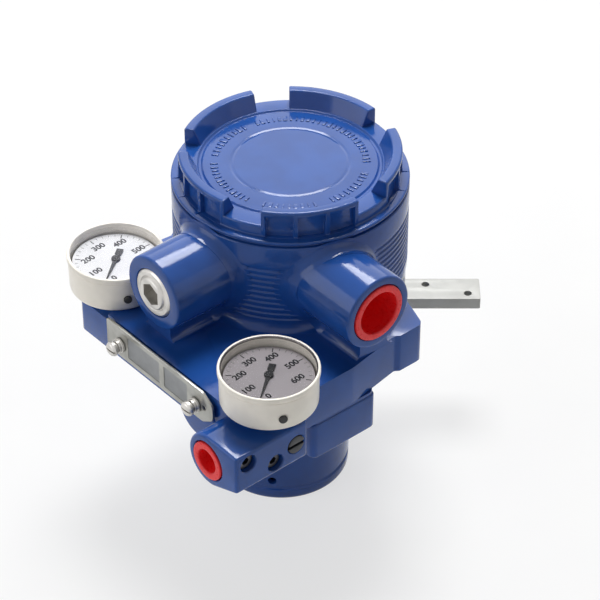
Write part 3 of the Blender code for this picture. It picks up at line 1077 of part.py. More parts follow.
def build_name_plate():
    """Makes the bare name plate that stands off the slab's front wall, and its two screws."""
    height = PLATE_HEIGHT
    radius = height / 2
    low = SLAB_TOP_Z + PLATE_RISE - height
    outline = ([(PLATE_LEFT_X, low), (PLATE_RIGHT_X - radius, low)]
               + arc(PLATE_RIGHT_X - radius, low + radius, radius, -PLATE_END_ANGLE, PLATE_END_ANGLE, 8)
               + [(PLATE_RIGHT_X - radius, low + height), (PLATE_LEFT_X, low + height)])
    along_y = Matrix.Rotation(math.radians(90), 4, "X")
    plate = extrude("name_plate", outline, PLATE_THICKNESS, (0, SLAB_FRONT_Y - PLATE_STANDOFF, 0), along_y)
    over = SLAB_FRONT_Y + PLATE_STANDOFF
    for x in (PLATE_SCREW_LEFT_X, PLATE_SCREW_RIGHT_X):
        cut(plate, disc("hole", PLATE_SCREW_RADIUS + SEAT_GAP, 6 * PLATE_STANDOFF,
                        (x, over, plate_screw_z()), (0, -1, 0), FACETS_TINY))
    cut(plate, disc("hole", PLATE_HOLE_RADIUS, 6 * PLATE_STANDOFF, (PLATE_HOLE_X, over, low + radius),
                    (0, -1, 0), FACETS_TINY))
    finish(plate, ZINC)
    for index, x in enumerate((PLATE_SCREW_LEFT_X, PLATE_SCREW_RIGHT_X), 1):
        depth = PLATE_SCREW_DEPTH - SEAT_GAP
        face = PLATE_STANDOFF + PLATE_THICKNESS + SEAT_GAP
        head = face + PLATE_STUD_LENGTH
        screw = revolve(f"name_plate_screw_{index}", [
            (0, -depth), (PLATE_SCREW_RADIUS, -depth), (PLATE_SCREW_RADIUS, face),
            (PLATE_HEAD_RADIUS - ENTRY_EDGE, face),
            (PLATE_HEAD_RADIUS - ENTRY_EDGE, head), (PLATE_HEAD_RADIUS, head),
            (PLATE_HEAD_RADIUS, head + PLATE_HEAD_HEIGHT), (0, head + PLATE_HEAD_HEIGHT)], FACETS_TINY,
            (x, SLAB_FRONT_Y, plate_screw_z()), (0, -1, 0))
        finish(screw, ZINC)


def module_screw_places():
    """Returns the plan of the two screws that hold the electronics module."""
    return [polar(MODULE_SCREW_CIRCLE, angle) for angle in MODULE_SCREW_ANGLES]


def build_terminal_compartment():
    """Makes what the cover closes: electronics module, circuit board and terminal block."""
    module_z = CAVITY_FLOOR_Z + SEAT_GAP
    module_top = module_z + MODULE_HEIGHT
    module = disc("electronics_module", MODULE_RADIUS, MODULE_HEIGHT, (0, 0, module_z),
                  facets=FACETS_MEDIUM, edge=ENTRY_EDGE)
    head_z = module_top + SEAT_GAP
    for index, place in enumerate(module_screw_places(), 1):
        cut(module, disc("hole", MODULE_SCREW_RADIUS + SEAT_GAP, 2 * MODULE_HEIGHT,
                         (place.x, place.y, module_z - MODULE_HEIGHT / 2), facets=FACETS_TINY))
        tip = CAVITY_FLOOR_Z - MODULE_SCREW_DEPTH + SEAT_GAP
        screw = revolve(f"module_screw_{index}", [
            (0, tip), (MODULE_SCREW_RADIUS, tip), (MODULE_SCREW_RADIUS, head_z),
            (MODULE_SCREW_HEAD_RADIUS, head_z),
            (MODULE_SCREW_HEAD_RADIUS, head_z + MODULE_SCREW_HEAD_HEIGHT),
            (0, head_z + MODULE_SCREW_HEAD_HEIGHT)], FACETS_TINY, (place.x, place.y, 0))
        finish(screw, ZINC)
    finish(module, BLACK_RESIN)
    board_z = module_top + SEAT_GAP
    board_radius = MODULE_SCREW_CIRCLE - MODULE_SCREW_HEAD_RADIUS - BOARD_SIDE_GAP
    board = disc("circuit_board", board_radius, CIRCUIT_BOARD_THICKNESS, (0, 0, board_z),
                 facets=FACETS_MEDIUM)
    finish(board, GREEN_BOARD)
    build_terminal_block(board_z + CIRCUIT_BOARD_THICKNESS + SEAT_GAP)


def build_terminal_block(low):
    """Makes the stepped terminal block with its ribs and screws."""
    half = TERMINAL_WIDTH / 2
    shelf = TERMINAL_HEIGHT - TERMINAL_STEP
    section = [(-half, 0), (half, 0), (half, TERMINAL_HEIGHT), (0, TERMINAL_HEIGHT), (0, shelf),
               (-half, shelf)]
    turn = Matrix.Rotation(math.radians(90), 4, "Z") @ Matrix.Rotation(math.radians(90), 4, "X")
    start = -TERMINAL_LENGTH / 2
    block = extrude("terminal_block", section, TERMINAL_LENGTH, (start, TERMINAL_Y, low), turn)
    pitch = (TERMINAL_LENGTH - TERMINAL_RIB_WIDTH) / TERMINAL_COUNT
    for rib in range(TERMINAL_COUNT + 1):
        rib_x = start + rib * pitch
        join(block, box("rib", (rib_x, TERMINAL_Y - half, low + shelf - TERMINAL_RIB_WIDTH),
                        (rib_x + TERMINAL_RIB_WIDTH, TERMINAL_Y + TERMINAL_RIB_WIDTH,
                         low + TERMINAL_HEIGHT)))
    for index in range(TERMINAL_COUNT):
        place = (start + TERMINAL_RIB_WIDTH / 2 + (index + 0.5) * pitch,
                 TERMINAL_Y - half / 2, low + shelf)
        cut(block, disc("hole", TERMINAL_SHANK_RADIUS + SEAT_GAP, 2 * TERMINAL_SHANK_DEPTH,
                        (place[0], place[1], place[2] - TERMINAL_SHANK_DEPTH), facets=8))
        top = TERMINAL_SCREW_HEIGHT + SEAT_GAP
        screw = revolve(f"terminal_screw_{index + 1}", [
            (0, SEAT_GAP - TERMINAL_SHANK_DEPTH), (TERMINAL_SHANK_RADIUS, SEAT_GAP - TERMINAL_SHANK_DEPTH),
            (TERMINAL_SHANK_RADIUS, SEAT_GAP), (TERMINAL_SCREW_RADIUS, SEAT_GAP),
            (TERMINAL_SCREW_RADIUS, top), (0, top)], FACETS_TINY, place)
        finish(screw, BRASS)
    finish(block, BLACK_RESIN, flat=True)


def build_nozzle_module():
    """Makes the electro-pneumatic module in the slab: base with nozzle, coil and flapper."""
    low = SLAB_BOTTOM_Z
    corner = Vector(nozzle_corner(-1, low)) + Vector((SEAT_GAP, SEAT_GAP, 0))
    far = Vector(nozzle_corner(1, low + NOZZLE_BASE_HEIGHT)) - Vector((SEAT_GAP, SEAT_GAP, 0))
    base = soften(box("nozzle_base", corner, far), ENTRY_EDGE, 1)
    top = low + NOZZLE_BASE_HEIGHT
    coil_x = NOZZLE_POCKET_X - NOZZLE_POCKET_LENGTH / 4
    nozzle_x = NOZZLE_POCKET_X + NOZZLE_POCKET_LENGTH / 4
    nozzle_height = COIL_HEIGHT - FLAPPER_THICKNESS
    nozzle_profile = [(0, -ENTRY_EDGE), (COIL_CORE_RADIUS, -ENTRY_EDGE),
                      (COIL_CORE_RADIUS, nozzle_height / 2), (COIL_CORE_RADIUS / 2, nozzle_height),
                      (0, nozzle_height)]
    join(base, revolve("nozzle", nozzle_profile, FACETS_SMALL, (nozzle_x, NOZZLE_POCKET_Y, top)))
    finish(base, ALUMINIUM)
    coil = disc("torque_coil", COIL_RADIUS, COIL_HEIGHT - FLAPPER_THICKNESS,
                (coil_x, NOZZLE_POCKET_Y, top + SEAT_GAP), facets=FACETS_SMALL, edge=ENTRY_EDGE)
    finish(coil, COPPER)
    flapper_z = top + 2 * SEAT_GAP + COIL_HEIGHT - FLAPPER_THICKNESS
    reach = COIL_RADIUS - COIL_CORE_RADIUS
    half = FLAPPER_WIDTH / 2
    outline = ([(coil_x, -half + NOZZLE_POCKET_Y), (nozzle_x, -half / 2 + NOZZLE_POCKET_Y),
                (nozzle_x + reach, NOZZLE_POCKET_Y), (nozzle_x, half / 2 + NOZZLE_POCKET_Y)]
               + arc(coil_x, NOZZLE_POCKET_Y, half, 90, 270, 8)[:-1])
    finish(extrude("flapper", outline, FLAPPER_THICKNESS, (0, 0, flapper_z)), STEEL)


def gear_outline(teeth, phase):
    """Returns the outline of a gear whose straight-sided teeth keep a running clearance."""
    pitch_radius = GEAR_MODULE * teeth / 2
    root = pitch_radius - GEAR_TOOTH_HEIGHT
    tip = pitch_radius + 0.75 * GEAR_MODULE
    pitch = 360 / teeth
    points = []
    for tooth in range(teeth):
        centre = phase + tooth * pitch
        for radius, offset in ((root, -0.29), (tip, -0.12), (tip, 0.12), (root, 0.29)):
            turn = math.radians(centre + offset * pitch)
            points.append((radius * math.cos(turn), radius * math.sin(turn)))
    return points


def sector_outline():
    """Returns the toothed sector: teeth over its span and a round hub behind."""
    full = gear_outline(SECTOR_TEETH, 0.0)
    half = SECTOR_SPAN / 2
    toothed = []
    pitch = 360 / SECTOR_TEETH
    reach = int(half / pitch)
    for tooth in range(-reach, reach + 1):
        start = (tooth % SECTOR_TEETH) * 4
        toothed += full[start:start + 4]
    rear = arc(0, 0, SECTOR_HUB_RADIUS, half + SECTOR_HUB_ANGLE, 360 - half - SECTOR_HUB_ANGLE, 12)
    return toothed + rear


def build_feedback():
    """Makes the feedback shaft with its sector, bush, plate, sensor, lever and nut."""
    pocket_floor = SLAB_BOTTOM_Z + GEAR_POCKET_DEPTH
    plate_low = SLAB_BOTTOM_Z
    plate_top = plate_low + SHAFT_PLATE_THICKNESS
    place = sensor_place()
    plate = extrude("shaft_plate", hull_outline((SHAFT_X, SHAFT_Y), SHAFT_PLATE_RADIUS, place,
                                                SENSOR_PLATE_RADIUS), SHAFT_PLATE_THICKNESS,
                    (0, 0, plate_low))
    bush_radius = SHAFT_RADIUS + BUSH_WALL
    boss_low = plate_low - SHAFT_BOSS_LENGTH
    join(plate, disc("boss", SHAFT_BOSS_RADIUS, SHAFT_BOSS_LENGTH + SHAFT_PLATE_THICKNESS / 2,
                     (SHAFT_X, SHAFT_Y, boss_low), facets=FACETS_MEDIUM))
    cut(plate, disc("bore", bush_radius + SEAT_GAP, 2 * SHAFT_BOSS_LENGTH + SHAFT_PLATE_THICKNESS,
                    (SHAFT_X, SHAFT_Y, boss_low - SHAFT_BOSS_LENGTH / 2), facets=FACETS_ROUND))
    for index, (x, y) in enumerate(shaft_plate_screw_places(), 1):
        cut(plate, disc("hole", SHAFT_PLATE_SCREW_RADIUS + SEAT_GAP, 3 * SHAFT_PLATE_THICKNESS,
                        (x, y, plate_low - SHAFT_PLATE_THICKNESS), facets=FACETS_TINY))
        cut(plate, disc("sink", SHAFT_PLATE_SCREW_HEAD + SEAT_GAP, SHAFT_PLATE_THICKNESS + SEAT_GAP,
                        (x, y, plate_low - SHAFT_PLATE_THICKNESS / 2), facets=FACETS_TINY))
        head = SHAFT_PLATE_THICKNESS / 2
        screw = revolve(f"shaft_plate_screw_{index}", [
            (0, 0), (SHAFT_PLATE_SCREW_HEAD, 0), (SHAFT_PLATE_SCREW_HEAD, head),
            (SHAFT_PLATE_SCREW_RADIUS, head), (SHAFT_PLATE_SCREW_RADIUS, SHAFT_PLATE_SCREW_LENGTH),
            (0, SHAFT_PLATE_SCREW_LENGTH)], FACETS_TINY, (x, y, plate_low))
        finish(screw, ZINC)
    finish(plate, BLUE_PAINT)
    bore = SHAFT_RADIUS + BEARING_GAP
    bush = revolve("shaft_bush", [(bore, boss_low), (bush_radius, boss_low), (bush_radius, plate_top),
                                  (bore, plate_top)], FACETS_ROUND, (SHAFT_X, SHAFT_Y, 0))
    finish(bush, BRASS)
    build_shaft(boss_low, pocket_floor, plate_top)
    build_sensor(place, plate_top)
    build_lever()


def build_shaft(boss_low, pocket_floor, plate_top):
    """Makes the shaft with a collar under the boss, and the sector clamped on it."""
    top = pocket_floor + SHAFT_SOCKET_DEPTH - SEAT_GAP
    collar_top = boss_low - SEAT_GAP
    collar_low = LEVER_TOP_Z + SEAT_GAP
    nut_low = LEVER_TOP_Z - LEVER_THICKNESS - SEAT_GAP - LEVER_NUT_HEIGHT - SHAFT_END_PROUD
    shaft = revolve("feedback_shaft", [
        (0, nut_low), (SHAFT_END_RADIUS, nut_low), (SHAFT_END_RADIUS, collar_low),
        (SHAFT_BOSS_RADIUS - BUSH_WALL, collar_low), (SHAFT_BOSS_RADIUS - BUSH_WALL, collar_top),
        (SHAFT_RADIUS, collar_top), (SHAFT_RADIUS, top), (0, top)], FACETS_ROUND)
    shaft.location = (SHAFT_X, SHAFT_Y, 0)
    finish(shaft, STEEL)
    sector = extrude("sensor_sector", sector_outline(), GEAR_THICKNESS, (0, 0, 0))
    cut(sector, disc("bore", SHAFT_RADIUS + SEAT_GAP, 4 * GEAR_THICKNESS, (0, 0, -2 * GEAR_THICKNESS),
                     facets=FACETS_ROUND))
    sector.location = (SHAFT_X, SHAFT_Y, plate_top + SECTOR_LIFT)
    finish(sector, BRASS)


def build_sensor(place, plate_top):
    """Makes the angle sensor that hangs from the pocket's floor, and its pinion."""
    floor = SLAB_BOTTOM_Z + GEAR_POCKET_DEPTH - SEAT_GAP
    body_low = floor - SENSOR_HEIGHT
    sensor = revolve("angle_sensor", [
        (SENSOR_SHAFT_RADIUS + BEARING_GAP, body_low), (SENSOR_RADIUS, body_low), (SENSOR_RADIUS, floor),
        (0, floor), (0, floor - SENSOR_HEIGHT / 4),
        (SENSOR_SHAFT_RADIUS + BEARING_GAP, floor - SENSOR_HEIGHT / 4)], FACETS_ROUND, (*place, 0))
    finish(sensor, BLACK_RESIN)
    pitch = 360 / PINION_TEETH
    pinion = extrude("sensor_pinion", gear_outline(PINION_TEETH, 180 + pitch / 2), GEAR_THICKNESS)
    low = plate_top + SECTOR_LIFT
    shaft_length = floor - SENSOR_HEIGHT / 4 - SEAT_GAP - low
    join(pinion, disc("pinion_shaft", SENSOR_SHAFT_RADIUS, shaft_length, (0, 0, 0), facets=FACETS_SMALL))
    pinion.location = (*place, low)
    finish(pinion, BRASS)


def build_lever():
    """Makes the flat feedback lever and the nut that clamps it to the shaft."""
    half = LEVER_WIDTH / 2
    meet = math.degrees(math.asin(half / LEVER_HUB_RADIUS))
    hub = arc(0, 0, LEVER_HUB_RADIUS, meet, 360 - meet, 20)
    outline = [(LEVER_LENGTH, -half), (LEVER_LENGTH, half)] + hub
    lever = soften(extrude("feedback_lever", outline, LEVER_THICKNESS), LEVER_EDGE, 1, 60.0)
    over = LEVER_THICKNESS
    outer = LEVER_LENGTH - LEVER_OUTER_HOLE_SETBACK
    for x, y, radius in ((0, 0, SHAFT_END_RADIUS + SEAT_GAP), (outer, -LEVER_HOLE_OFFSET, LEVER_HOLE_RADIUS),
                         (outer - LEVER_HOLE_SPACING, LEVER_HOLE_OFFSET, LEVER_HOLE_RADIUS)):
        cut(lever, disc("hole", radius, 3 * over, (x, y, -over), facets=FACETS_SMALL))
    lever.data.transform(Matrix.Rotation(math.radians(LEVER_REST_ANGLE), 4, "Z"))
    lever_low = LEVER_TOP_Z - LEVER_THICKNESS
    lever.location = (SHAFT_X, SHAFT_Y, lever_low)
    finish(lever, GREY_LEVER)
    nut = extrude("lever_nut", regular(LEVER_NUT_RADIUS, 6), LEVER_NUT_HEIGHT)
    cut(nut, disc("bore", SHAFT_END_RADIUS + SEAT_GAP, 3 * LEVER_NUT_HEIGHT, (0, 0, -LEVER_NUT_HEIGHT),
                  facets=FACETS_SMALL))
    nut.location = (SHAFT_X, SHAFT_Y, lever_low - SEAT_GAP - LEVER_NUT_HEIGHT)
    finish(nut, ZINC)


def main():
    clear_scene()
    build_housing()
    build_relay_block()
    build_relay_cup()
    build_pilot_relay()
    build_cover()
    build_entry_stoppers()
    build_block_fittings()
    build_gauge("left", LEFT_GAUGE_X)
    build_gauge("right", RIGHT_GAUGE_X)
    build_name_plate()
    build_terminal_compartment()
    build_nozzle_module()
    build_feedback()


main()
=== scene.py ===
"""Looks of an electro-pneumatic valve positioner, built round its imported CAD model.

Each sub-assembly is a class: its sizes are dataclass fields in millimetres, and its methods model the
pieces with Blender's own operators and dress them in procedural finishes.
"""

import logging
import math
from collections.abc import Iterable, Iterator, Sequence
from contextlib import contextmanager
from dataclasses import dataclass
from enum import Enum
from typing import Any

import bmesh
import bpy
from mathutils import Matrix, Vector


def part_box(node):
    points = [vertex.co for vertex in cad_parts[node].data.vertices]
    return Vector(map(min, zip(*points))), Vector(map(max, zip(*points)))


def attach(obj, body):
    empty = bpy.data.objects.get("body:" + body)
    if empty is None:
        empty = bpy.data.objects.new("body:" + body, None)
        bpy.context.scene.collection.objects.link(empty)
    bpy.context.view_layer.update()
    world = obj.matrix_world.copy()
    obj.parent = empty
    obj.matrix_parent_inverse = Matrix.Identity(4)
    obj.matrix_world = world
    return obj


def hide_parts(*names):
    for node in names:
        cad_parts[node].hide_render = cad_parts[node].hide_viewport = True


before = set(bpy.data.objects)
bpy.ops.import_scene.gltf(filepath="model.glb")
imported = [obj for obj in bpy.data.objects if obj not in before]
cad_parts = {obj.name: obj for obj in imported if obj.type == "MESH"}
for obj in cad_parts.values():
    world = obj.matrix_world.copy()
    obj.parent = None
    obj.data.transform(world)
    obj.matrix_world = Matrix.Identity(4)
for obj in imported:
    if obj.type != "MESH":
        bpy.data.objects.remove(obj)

LOG = logging.getLogger("positioner")
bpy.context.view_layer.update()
MM = 0.001
FINE = 128
ROUND = 64
SMALL = 32

Point = tuple[float, float]


class Axis(Enum):
    """Directions that turned and raised pieces point along."""

    UP = (0, 0, 1)
    DOWN = (0, 0, -1)
    RIGHT = (1, 0, 0)
    LEFT = (-1, 0, 0)
    FRONT = (0, -1, 0)
    BACK = (0, 1, 0)

    def turn(self) -> Matrix:
        """Returns the rotation that carries +Z onto this direction, with no roll about it."""
        if self in (Axis.UP, Axis.DOWN):
            return Matrix.Rotation(0 if self is Axis.UP else math.pi, 4, "X")
        side = Vector((0, 0, 1)).cross(Vector(self.value))
        columns = Matrix((side, Vector((0, 0, 1)), Vector(self.value))).transposed()
        if columns.determinant() < 0:
            columns = Matrix((-side, Vector((0, 0, 1)), Vector(self.value))).transposed()
        return columns.to_4x4()


@dataclass(frozen=True)
class Corner:
    """A corner of a profile or an outline, in millimetres, and the radius that rounds it."""

    u: float
    v: float
    radius: float = 0.0


def rounded(corners: Sequence[Corner], closed: bool = False, steps: int = 5) -> list[Point]:
    """Rounds a chain of corners.

    Args:
        corners: The corners in order.
        closed: True if the last corner joins the first.
        steps: How many edges each arc has.

    Returns:
        The points of the rounded chain.
    """
    points: list[Point] = []
    count = len(corners)
    for index, corner in enumerate(corners):
        here = Vector((corner.u, corner.v))
        if corner.radius <= 0 or (not closed and index in (0, count - 1)):
            points.append((here.x, here.y))
            continue
        before = corners[index - 1]
        after = corners[(index + 1) % count]
        back = Vector((before.u, before.v)) - here
        ahead = Vector((after.u, after.v)) - here
        angle = back.angle(ahead)
        reach = min(corner.radius / math.tan(angle / 2), 0.49 * back.length, 0.49 * ahead.length)
        radius = reach * math.tan(angle / 2)
        start = here + back.normalized() * reach
        end = here + ahead.normalized() * reach
        centre = here + (back.normalized() + ahead.normalized()).normalized() * (
            radius / math.sin(angle / 2))
        first = start - centre
        sweep = first.angle_signed(end - centre)
        for step in range(steps + 1):
            spoke = first.copy()
            spoke.rotate(Matrix.Rotation(-sweep * step / steps, 2))
            points.append((centre.x + spoke.x, centre.y + spoke.y))
    return points


def arc(centre: Point, radius: float, start: float, end: float, steps: int) -> list[Point]:
    """Returns the points of an arc between two angles in degrees, both ends included."""
    angles = [math.radians(start + (end - start) * step / steps) for step in range(steps + 1)]
    return [(centre[0] + radius * math.cos(a), centre[1] + radius * math.sin(a)) for a in angles]


def polar(radius: float, angle: float, height: float = 0.0) -> Vector:
    """Returns a point at an angle in degrees round the Z axis."""
    turn = math.radians(angle)
    return Vector((radius * math.cos(turn), radius * math.sin(turn), height))


def node_box(name: str) -> tuple[Vector, Vector]:
    """Returns a CAD node's lowest and highest corners in millimetres."""
    low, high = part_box(name)
    return Vector(low) / MM, Vector(high) / MM


def node_centre(name: str) -> Vector:
    """Returns the middle of a CAD node's box in millimetres."""
    low, high = node_box(name)
    return (low + high) / 2


def deselect_all() -> None:
    """Leaves object mode with nothing selected."""
    if bpy.context.mode != "OBJECT":
        bpy.ops.object.mode_set(mode="OBJECT")
    bpy.ops.object.select_all(action="DESELECT")


def select_only(obj: bpy.types.Object) -> None:
    """Makes one object the selected and active one."""
    deselect_all()
    obj.select_set(True)
    bpy.context.view_layer.objects.active = obj


@contextmanager
def editing(obj: bpy.types.Object, mode: str = "VERT") -> Iterator[bpy.types.Object]:
    """Enters edit mode on one object with all of it selected, and leaves it afterwards."""
    select_only(obj)
    bpy.ops.object.mode_set(mode="EDIT")
    bpy.ops.mesh.select_mode(type=mode)
    bpy.ops.mesh.select_all(action="SELECT")
    yield obj
    bpy.ops.object.mode_set(mode="OBJECT")


def wire(name: str, points: Iterable[Vector], closed: bool) -> bpy.types.Object:
    """Links a new object that holds a chain of edges."""
    places = [tuple(point) for point in points]
    edges = [(index, index + 1) for index in range(len(places) - 1)]
    if closed:
        edges.append((len(places) - 1, 0))
    mesh = bpy.data.meshes.new(name)
    mesh.from_pydata(places, edges, [])
    obj = bpy.data.objects.new(name, mesh)
    bpy.context.scene.collection.objects.link(obj)
    return obj


def mend(obj: bpy.types.Object, threshold: float = 1e-4) -> None:
    """Merges an object's doubles and turns its faces outwards."""
    with editing(obj):
        bpy.ops.mesh.remove_doubles(threshold=threshold)
        bpy.ops.mesh.normals_make_consistent(inside=False)


def turned(name: str, profile: Sequence[Point], facets: int = ROUND, centre: Sequence[float] = (0, 0, 0),
           axis: Axis = Axis.UP, closed: bool = False, sweep: float = 360.0) -> bpy.types.Object:
    """Turns a profile of (radius, height) points about an axis.

    Args:
        name: The new object's name.
        profile: The points of the profile.
        facets: How many steps the turn has.
        centre: Where the profile's origin goes.
        axis: Where the profile's height points.
        closed: True if the profile closes on itself.
        sweep: The angle of the turn in degrees, from +X.

    Returns:
        The new object.
    """
    obj = wire(name, (Vector((radius, 0, height)) for radius, height in profile), closed)
    with editing(obj):
        bpy.ops.mesh.spin(steps=facets, angle=-math.radians(sweep), center=(0, 0, 0), axis=(0, 0, 1))
        bpy.ops.mesh.select_all(action="SELECT")
        bpy.ops.mesh.remove_doubles(threshold=1e-4)
        if sweep < 360:
            bpy.ops.mesh.fill_holes(sides=0)
            bpy.ops.mesh.select_all(action="SELECT")
        bpy.ops.mesh.normals_make_consistent(inside=False)
    obj.data.transform(Matrix.Translation(Vector(centre)) @ axis.turn())
    return obj


def raised(name: str, outline: Sequence[Point], height: float, centre: Sequence[float] = (0, 0, 0),
           axis: Axis = Axis.UP) -> bpy.types.Object:
    """Raises a closed outline along an axis.

    Args:
        name: The new object's name.
        outline: The (u, v) points of the outline.
        height: How far it is raised.
        centre: Where the outline's origin goes.
        axis: Which way it is raised.

    Returns:
        The new object.
    """
    obj = wire(name, (Vector((u, v, 0)) for u, v in outline), True)
    with editing(obj):
        bpy.ops.mesh.edge_face_add()
        bpy.ops.mesh.extrude_region_move(TRANSFORM_OT_translate={"value": (0, 0, height)})
        bpy.ops.mesh.select_all(action="SELECT")
        bpy.ops.mesh.normals_make_consistent(inside=False)
    obj.data.transform(Matrix.Translation(Vector(centre)) @ axis.turn())
    return obj


def finish_with(obj: bpy.types.Object, kind: str, **settings: Any) -> bpy.types.Object:
    """Adds a modifier, sets it and applies it."""
    modifier = obj.modifiers.new(kind.lower(), kind)
    for key, value in settings.items():
        setattr(modifier, key, value)
    select_only(obj)
    bpy.ops.object.modifier_apply(modifier=modifier.name)
    return obj


def eased(obj: bpy.types.Object, width: float, segments: int = 3, angle: float = 40.0) -> bpy.types.Object:
    """Rounds an object's sharp edges by a width in millimetres."""
    return finish_with(obj, "BEVEL", width=width, segments=segments, limit_method="ANGLE",
                       angle_limit=math.radians(angle), miter_outer="MITER_ARC", harden_normals=False)


def cut_by(obj: bpy.types.Object, tool: bpy.types.Object) -> bpy.types.Object:
    """Cuts one object by another, which is then removed."""
    finish_with(obj, "BOOLEAN", object=tool, operation="DIFFERENCE", solver="EXACT")
    bpy.data.objects.remove(tool, do_unlink=True)
    return obj


def fused(name: str, pieces: Sequence[bpy.types.Object]) -> bpy.types.Object:
    """Joins pieces into the first one and names it."""
    deselect_all()
    for piece in pieces:
        piece.select_set(True)
    bpy.context.view_layer.objects.active = pieces[0]
    if len(pieces) > 1:
        bpy.ops.object.join()
    pieces[0].name = name
    return pieces[0]


def turned_copy(obj: bpy.types.Object, angle: float, centre: Sequence[float] = (0, 0, 0)) -> bpy.types.Object:
    """Copies an object with its own mesh, turned about an upright axis by degrees."""
    copy = bpy.data.objects.new(obj.name, obj.data.copy())
    bpy.context.scene.collection.objects.link(copy)
    place = Matrix.Translation(Vector(centre))
    copy.data.transform(place @ Matrix.Rotation(math.radians(angle), 4, "Z") @ place.inverted())
    return copy


def settle(obj: bpy.types.Object, body: str, *replaced: str, smooth: float | None = 35.0) -> bpy.types.Object:
    """Brings a finished piece to metres, smooths it and hands it to the frame.

    Args:
        obj: The piece, modelled in millimetres.
        body: The CAD body that it rides on.
        replaced: The CAD nodes that it stands for.
        smooth: The angle in degrees up to which edges shade smooth, or None for flat faces.

    Returns:
        The same piece.
    """
    obj.data.transform(Matrix.Scale(MM, 4))
    if smooth is not None:
        select_only(obj)
        bpy.ops.object.shade_smooth_by_angle(angle=math.radians(smooth))
    deselect_all()
    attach(obj, body)
    if replaced:
        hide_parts(*replaced)
    LOG.info("piece %s rides on %s", obj.name, body)
    return obj


Input = Any


class Socket:
    """A shader value that Python's own operators work on."""

    def __init__(self, bench: "Shader", link: Any) -> None:
        """Keeps the tree and the output socket or number that it stands for."""
        self.bench = bench
        self.link = link

    def _math(self, operation: str, *values: Input) -> "Socket":
        """Adds a Math node on plain numbers and sockets."""
        return self.bench.node("ShaderNodeMath", {"operation": operation}, dict(enumerate(values)))

    def __add__(self, other: Input) -> "Socket":
        """Adds."""
        return self._math("ADD", self, other)

    __radd__ = __add__

    def __sub__(self, other: Input) -> "Socket":
        """Subtracts."""
        return self._math("SUBTRACT", self, other)

    def __rsub__(self, other: Input) -> "Socket":
        """Subtracts from a number."""
        return self._math("SUBTRACT", other, self)

    def __mul__(self, other: Input) -> "Socket":
        """Multiplies."""
        return self._math("MULTIPLY", self, other)

    __rmul__ = __mul__

    def __truediv__(self, other: Input) -> "Socket":
        """Divides."""
        return self._math("DIVIDE", self, other)

    def clamped(self) -> "Socket":
        """Keeps the value between 0 and 1."""
        return self._math("MINIMUM", self._math("MAXIMUM", self, 0.0), 1.0)

    def ramp(self, low: float, high: float, at_low: float = 0.0, at_high: float = 1.0) -> "Socket":
        """Runs smoothly between two levels as the value runs from low to high."""
        return self.bench.node("ShaderNodeMapRange", {"interpolation_type": "SMOOTHSTEP"},
                               {"Value": self, "From Min": low, "From Max": high, "To Min": at_low,
                                "To Max": at_high})


class Shader:
    """A material's node tree, with one method that makes every node."""

    def __init__(self, name: str) -> None:
        """Starts an empty Principled material."""
        self.material = bpy.data.materials.new(name)
        self.material.use_nodes = True
        self.tree = self.material.node_tree
        self.surface = self.tree.nodes["Principled BSDF"]

    def node(self, kind: str, settings: dict[str, Any] | None = None, inputs: dict[Any, Input] | None = None,
             output: Any = 0) -> Socket:
        """Makes a node.

        Args:
            kind: The node's type.
            settings: Attributes of the node, set first. "stops" is a ramp's list of (place, colour).
            inputs: Values or sockets by input name or number.
            output: The output that is returned.

        Returns:
            The output as a Socket.
        """
        made = self.tree.nodes.new(kind)
        for key, value in (settings or {}).items():
            if key == "stops":
                self._set_stops(made.color_ramp, value)
            else:
                setattr(made, key, value)
        for key, value in (inputs or {}).items():
            self._plug(made.inputs[key], value)
        return Socket(self, made.outputs[output])

    def _set_stops(self, ramp: Any, stops: Sequence[tuple[float, tuple[float, float, float]]]) -> None:
        """Fills a colour ramp."""
        while len(ramp.elements) < len(stops):
            ramp.elements.new(1.0)
        for element, (place, colour) in zip(ramp.elements, stops):
            element.position = place
            element.color = (*colour, 1)

    def _plug(self, socket: Any, value: Input) -> None:
        """Links a socket to an output, or sets its value."""
        if isinstance(value, Socket):
            self.tree.links.new(value.link, socket)
        elif isinstance(value, tuple) and len(value) == 3 and socket.type == "RGBA":
            socket.default_value = (*value, 1)
        else:
            socket.default_value = value

    def set(self, **values: Input) -> "Shader":
        """Sets the surface's inputs; base_color stands for Base Color."""
        for key, value in values.items():
            self._plug(self.surface.inputs[key.replace("_", " ").title().replace("Ior", "IOR")], value)
        return self

    def place(self) -> Socket:
        """Returns the Object coordinates."""
        return self.node("ShaderNodeTexCoord", output="Object")

    def noise(self, size_mm: float, detail: float = 3.0, stretch: tuple[float, float, float] = (1, 1, 1),
              roughness: float = 0.5) -> Socket:
        """Returns a noise value whose features are about a size in millimetres."""
        spread = self.node("ShaderNodeMapping", inputs={"Vector": self.place(), "Scale": stretch})
        return self.node("ShaderNodeTexNoise", inputs={
            "Vector": spread, "Scale": 1.0 / (size_mm * MM), "Detail": detail, "Roughness": roughness})

    def mix(self, factor: Input, first: Input, second: Input) -> Socket:
        """Mixes two colours."""
        return self.node("ShaderNodeMix", {"data_type": "RGBA"}, {0: factor, 6: first, 7: second}, 2)

    def bump(self, height: Socket, depth_mm: float, strength: float = 1.0, normal: Socket | None = None) -> Socket:
        """Turns a height into a normal."""
        inputs = {"Height": height, "Distance": depth_mm * MM, "Strength": strength}
        if normal is not None:
            inputs["Normal"] = normal
        return self.node("ShaderNodeBump", inputs=inputs)


Colour = tuple[float, float, float]


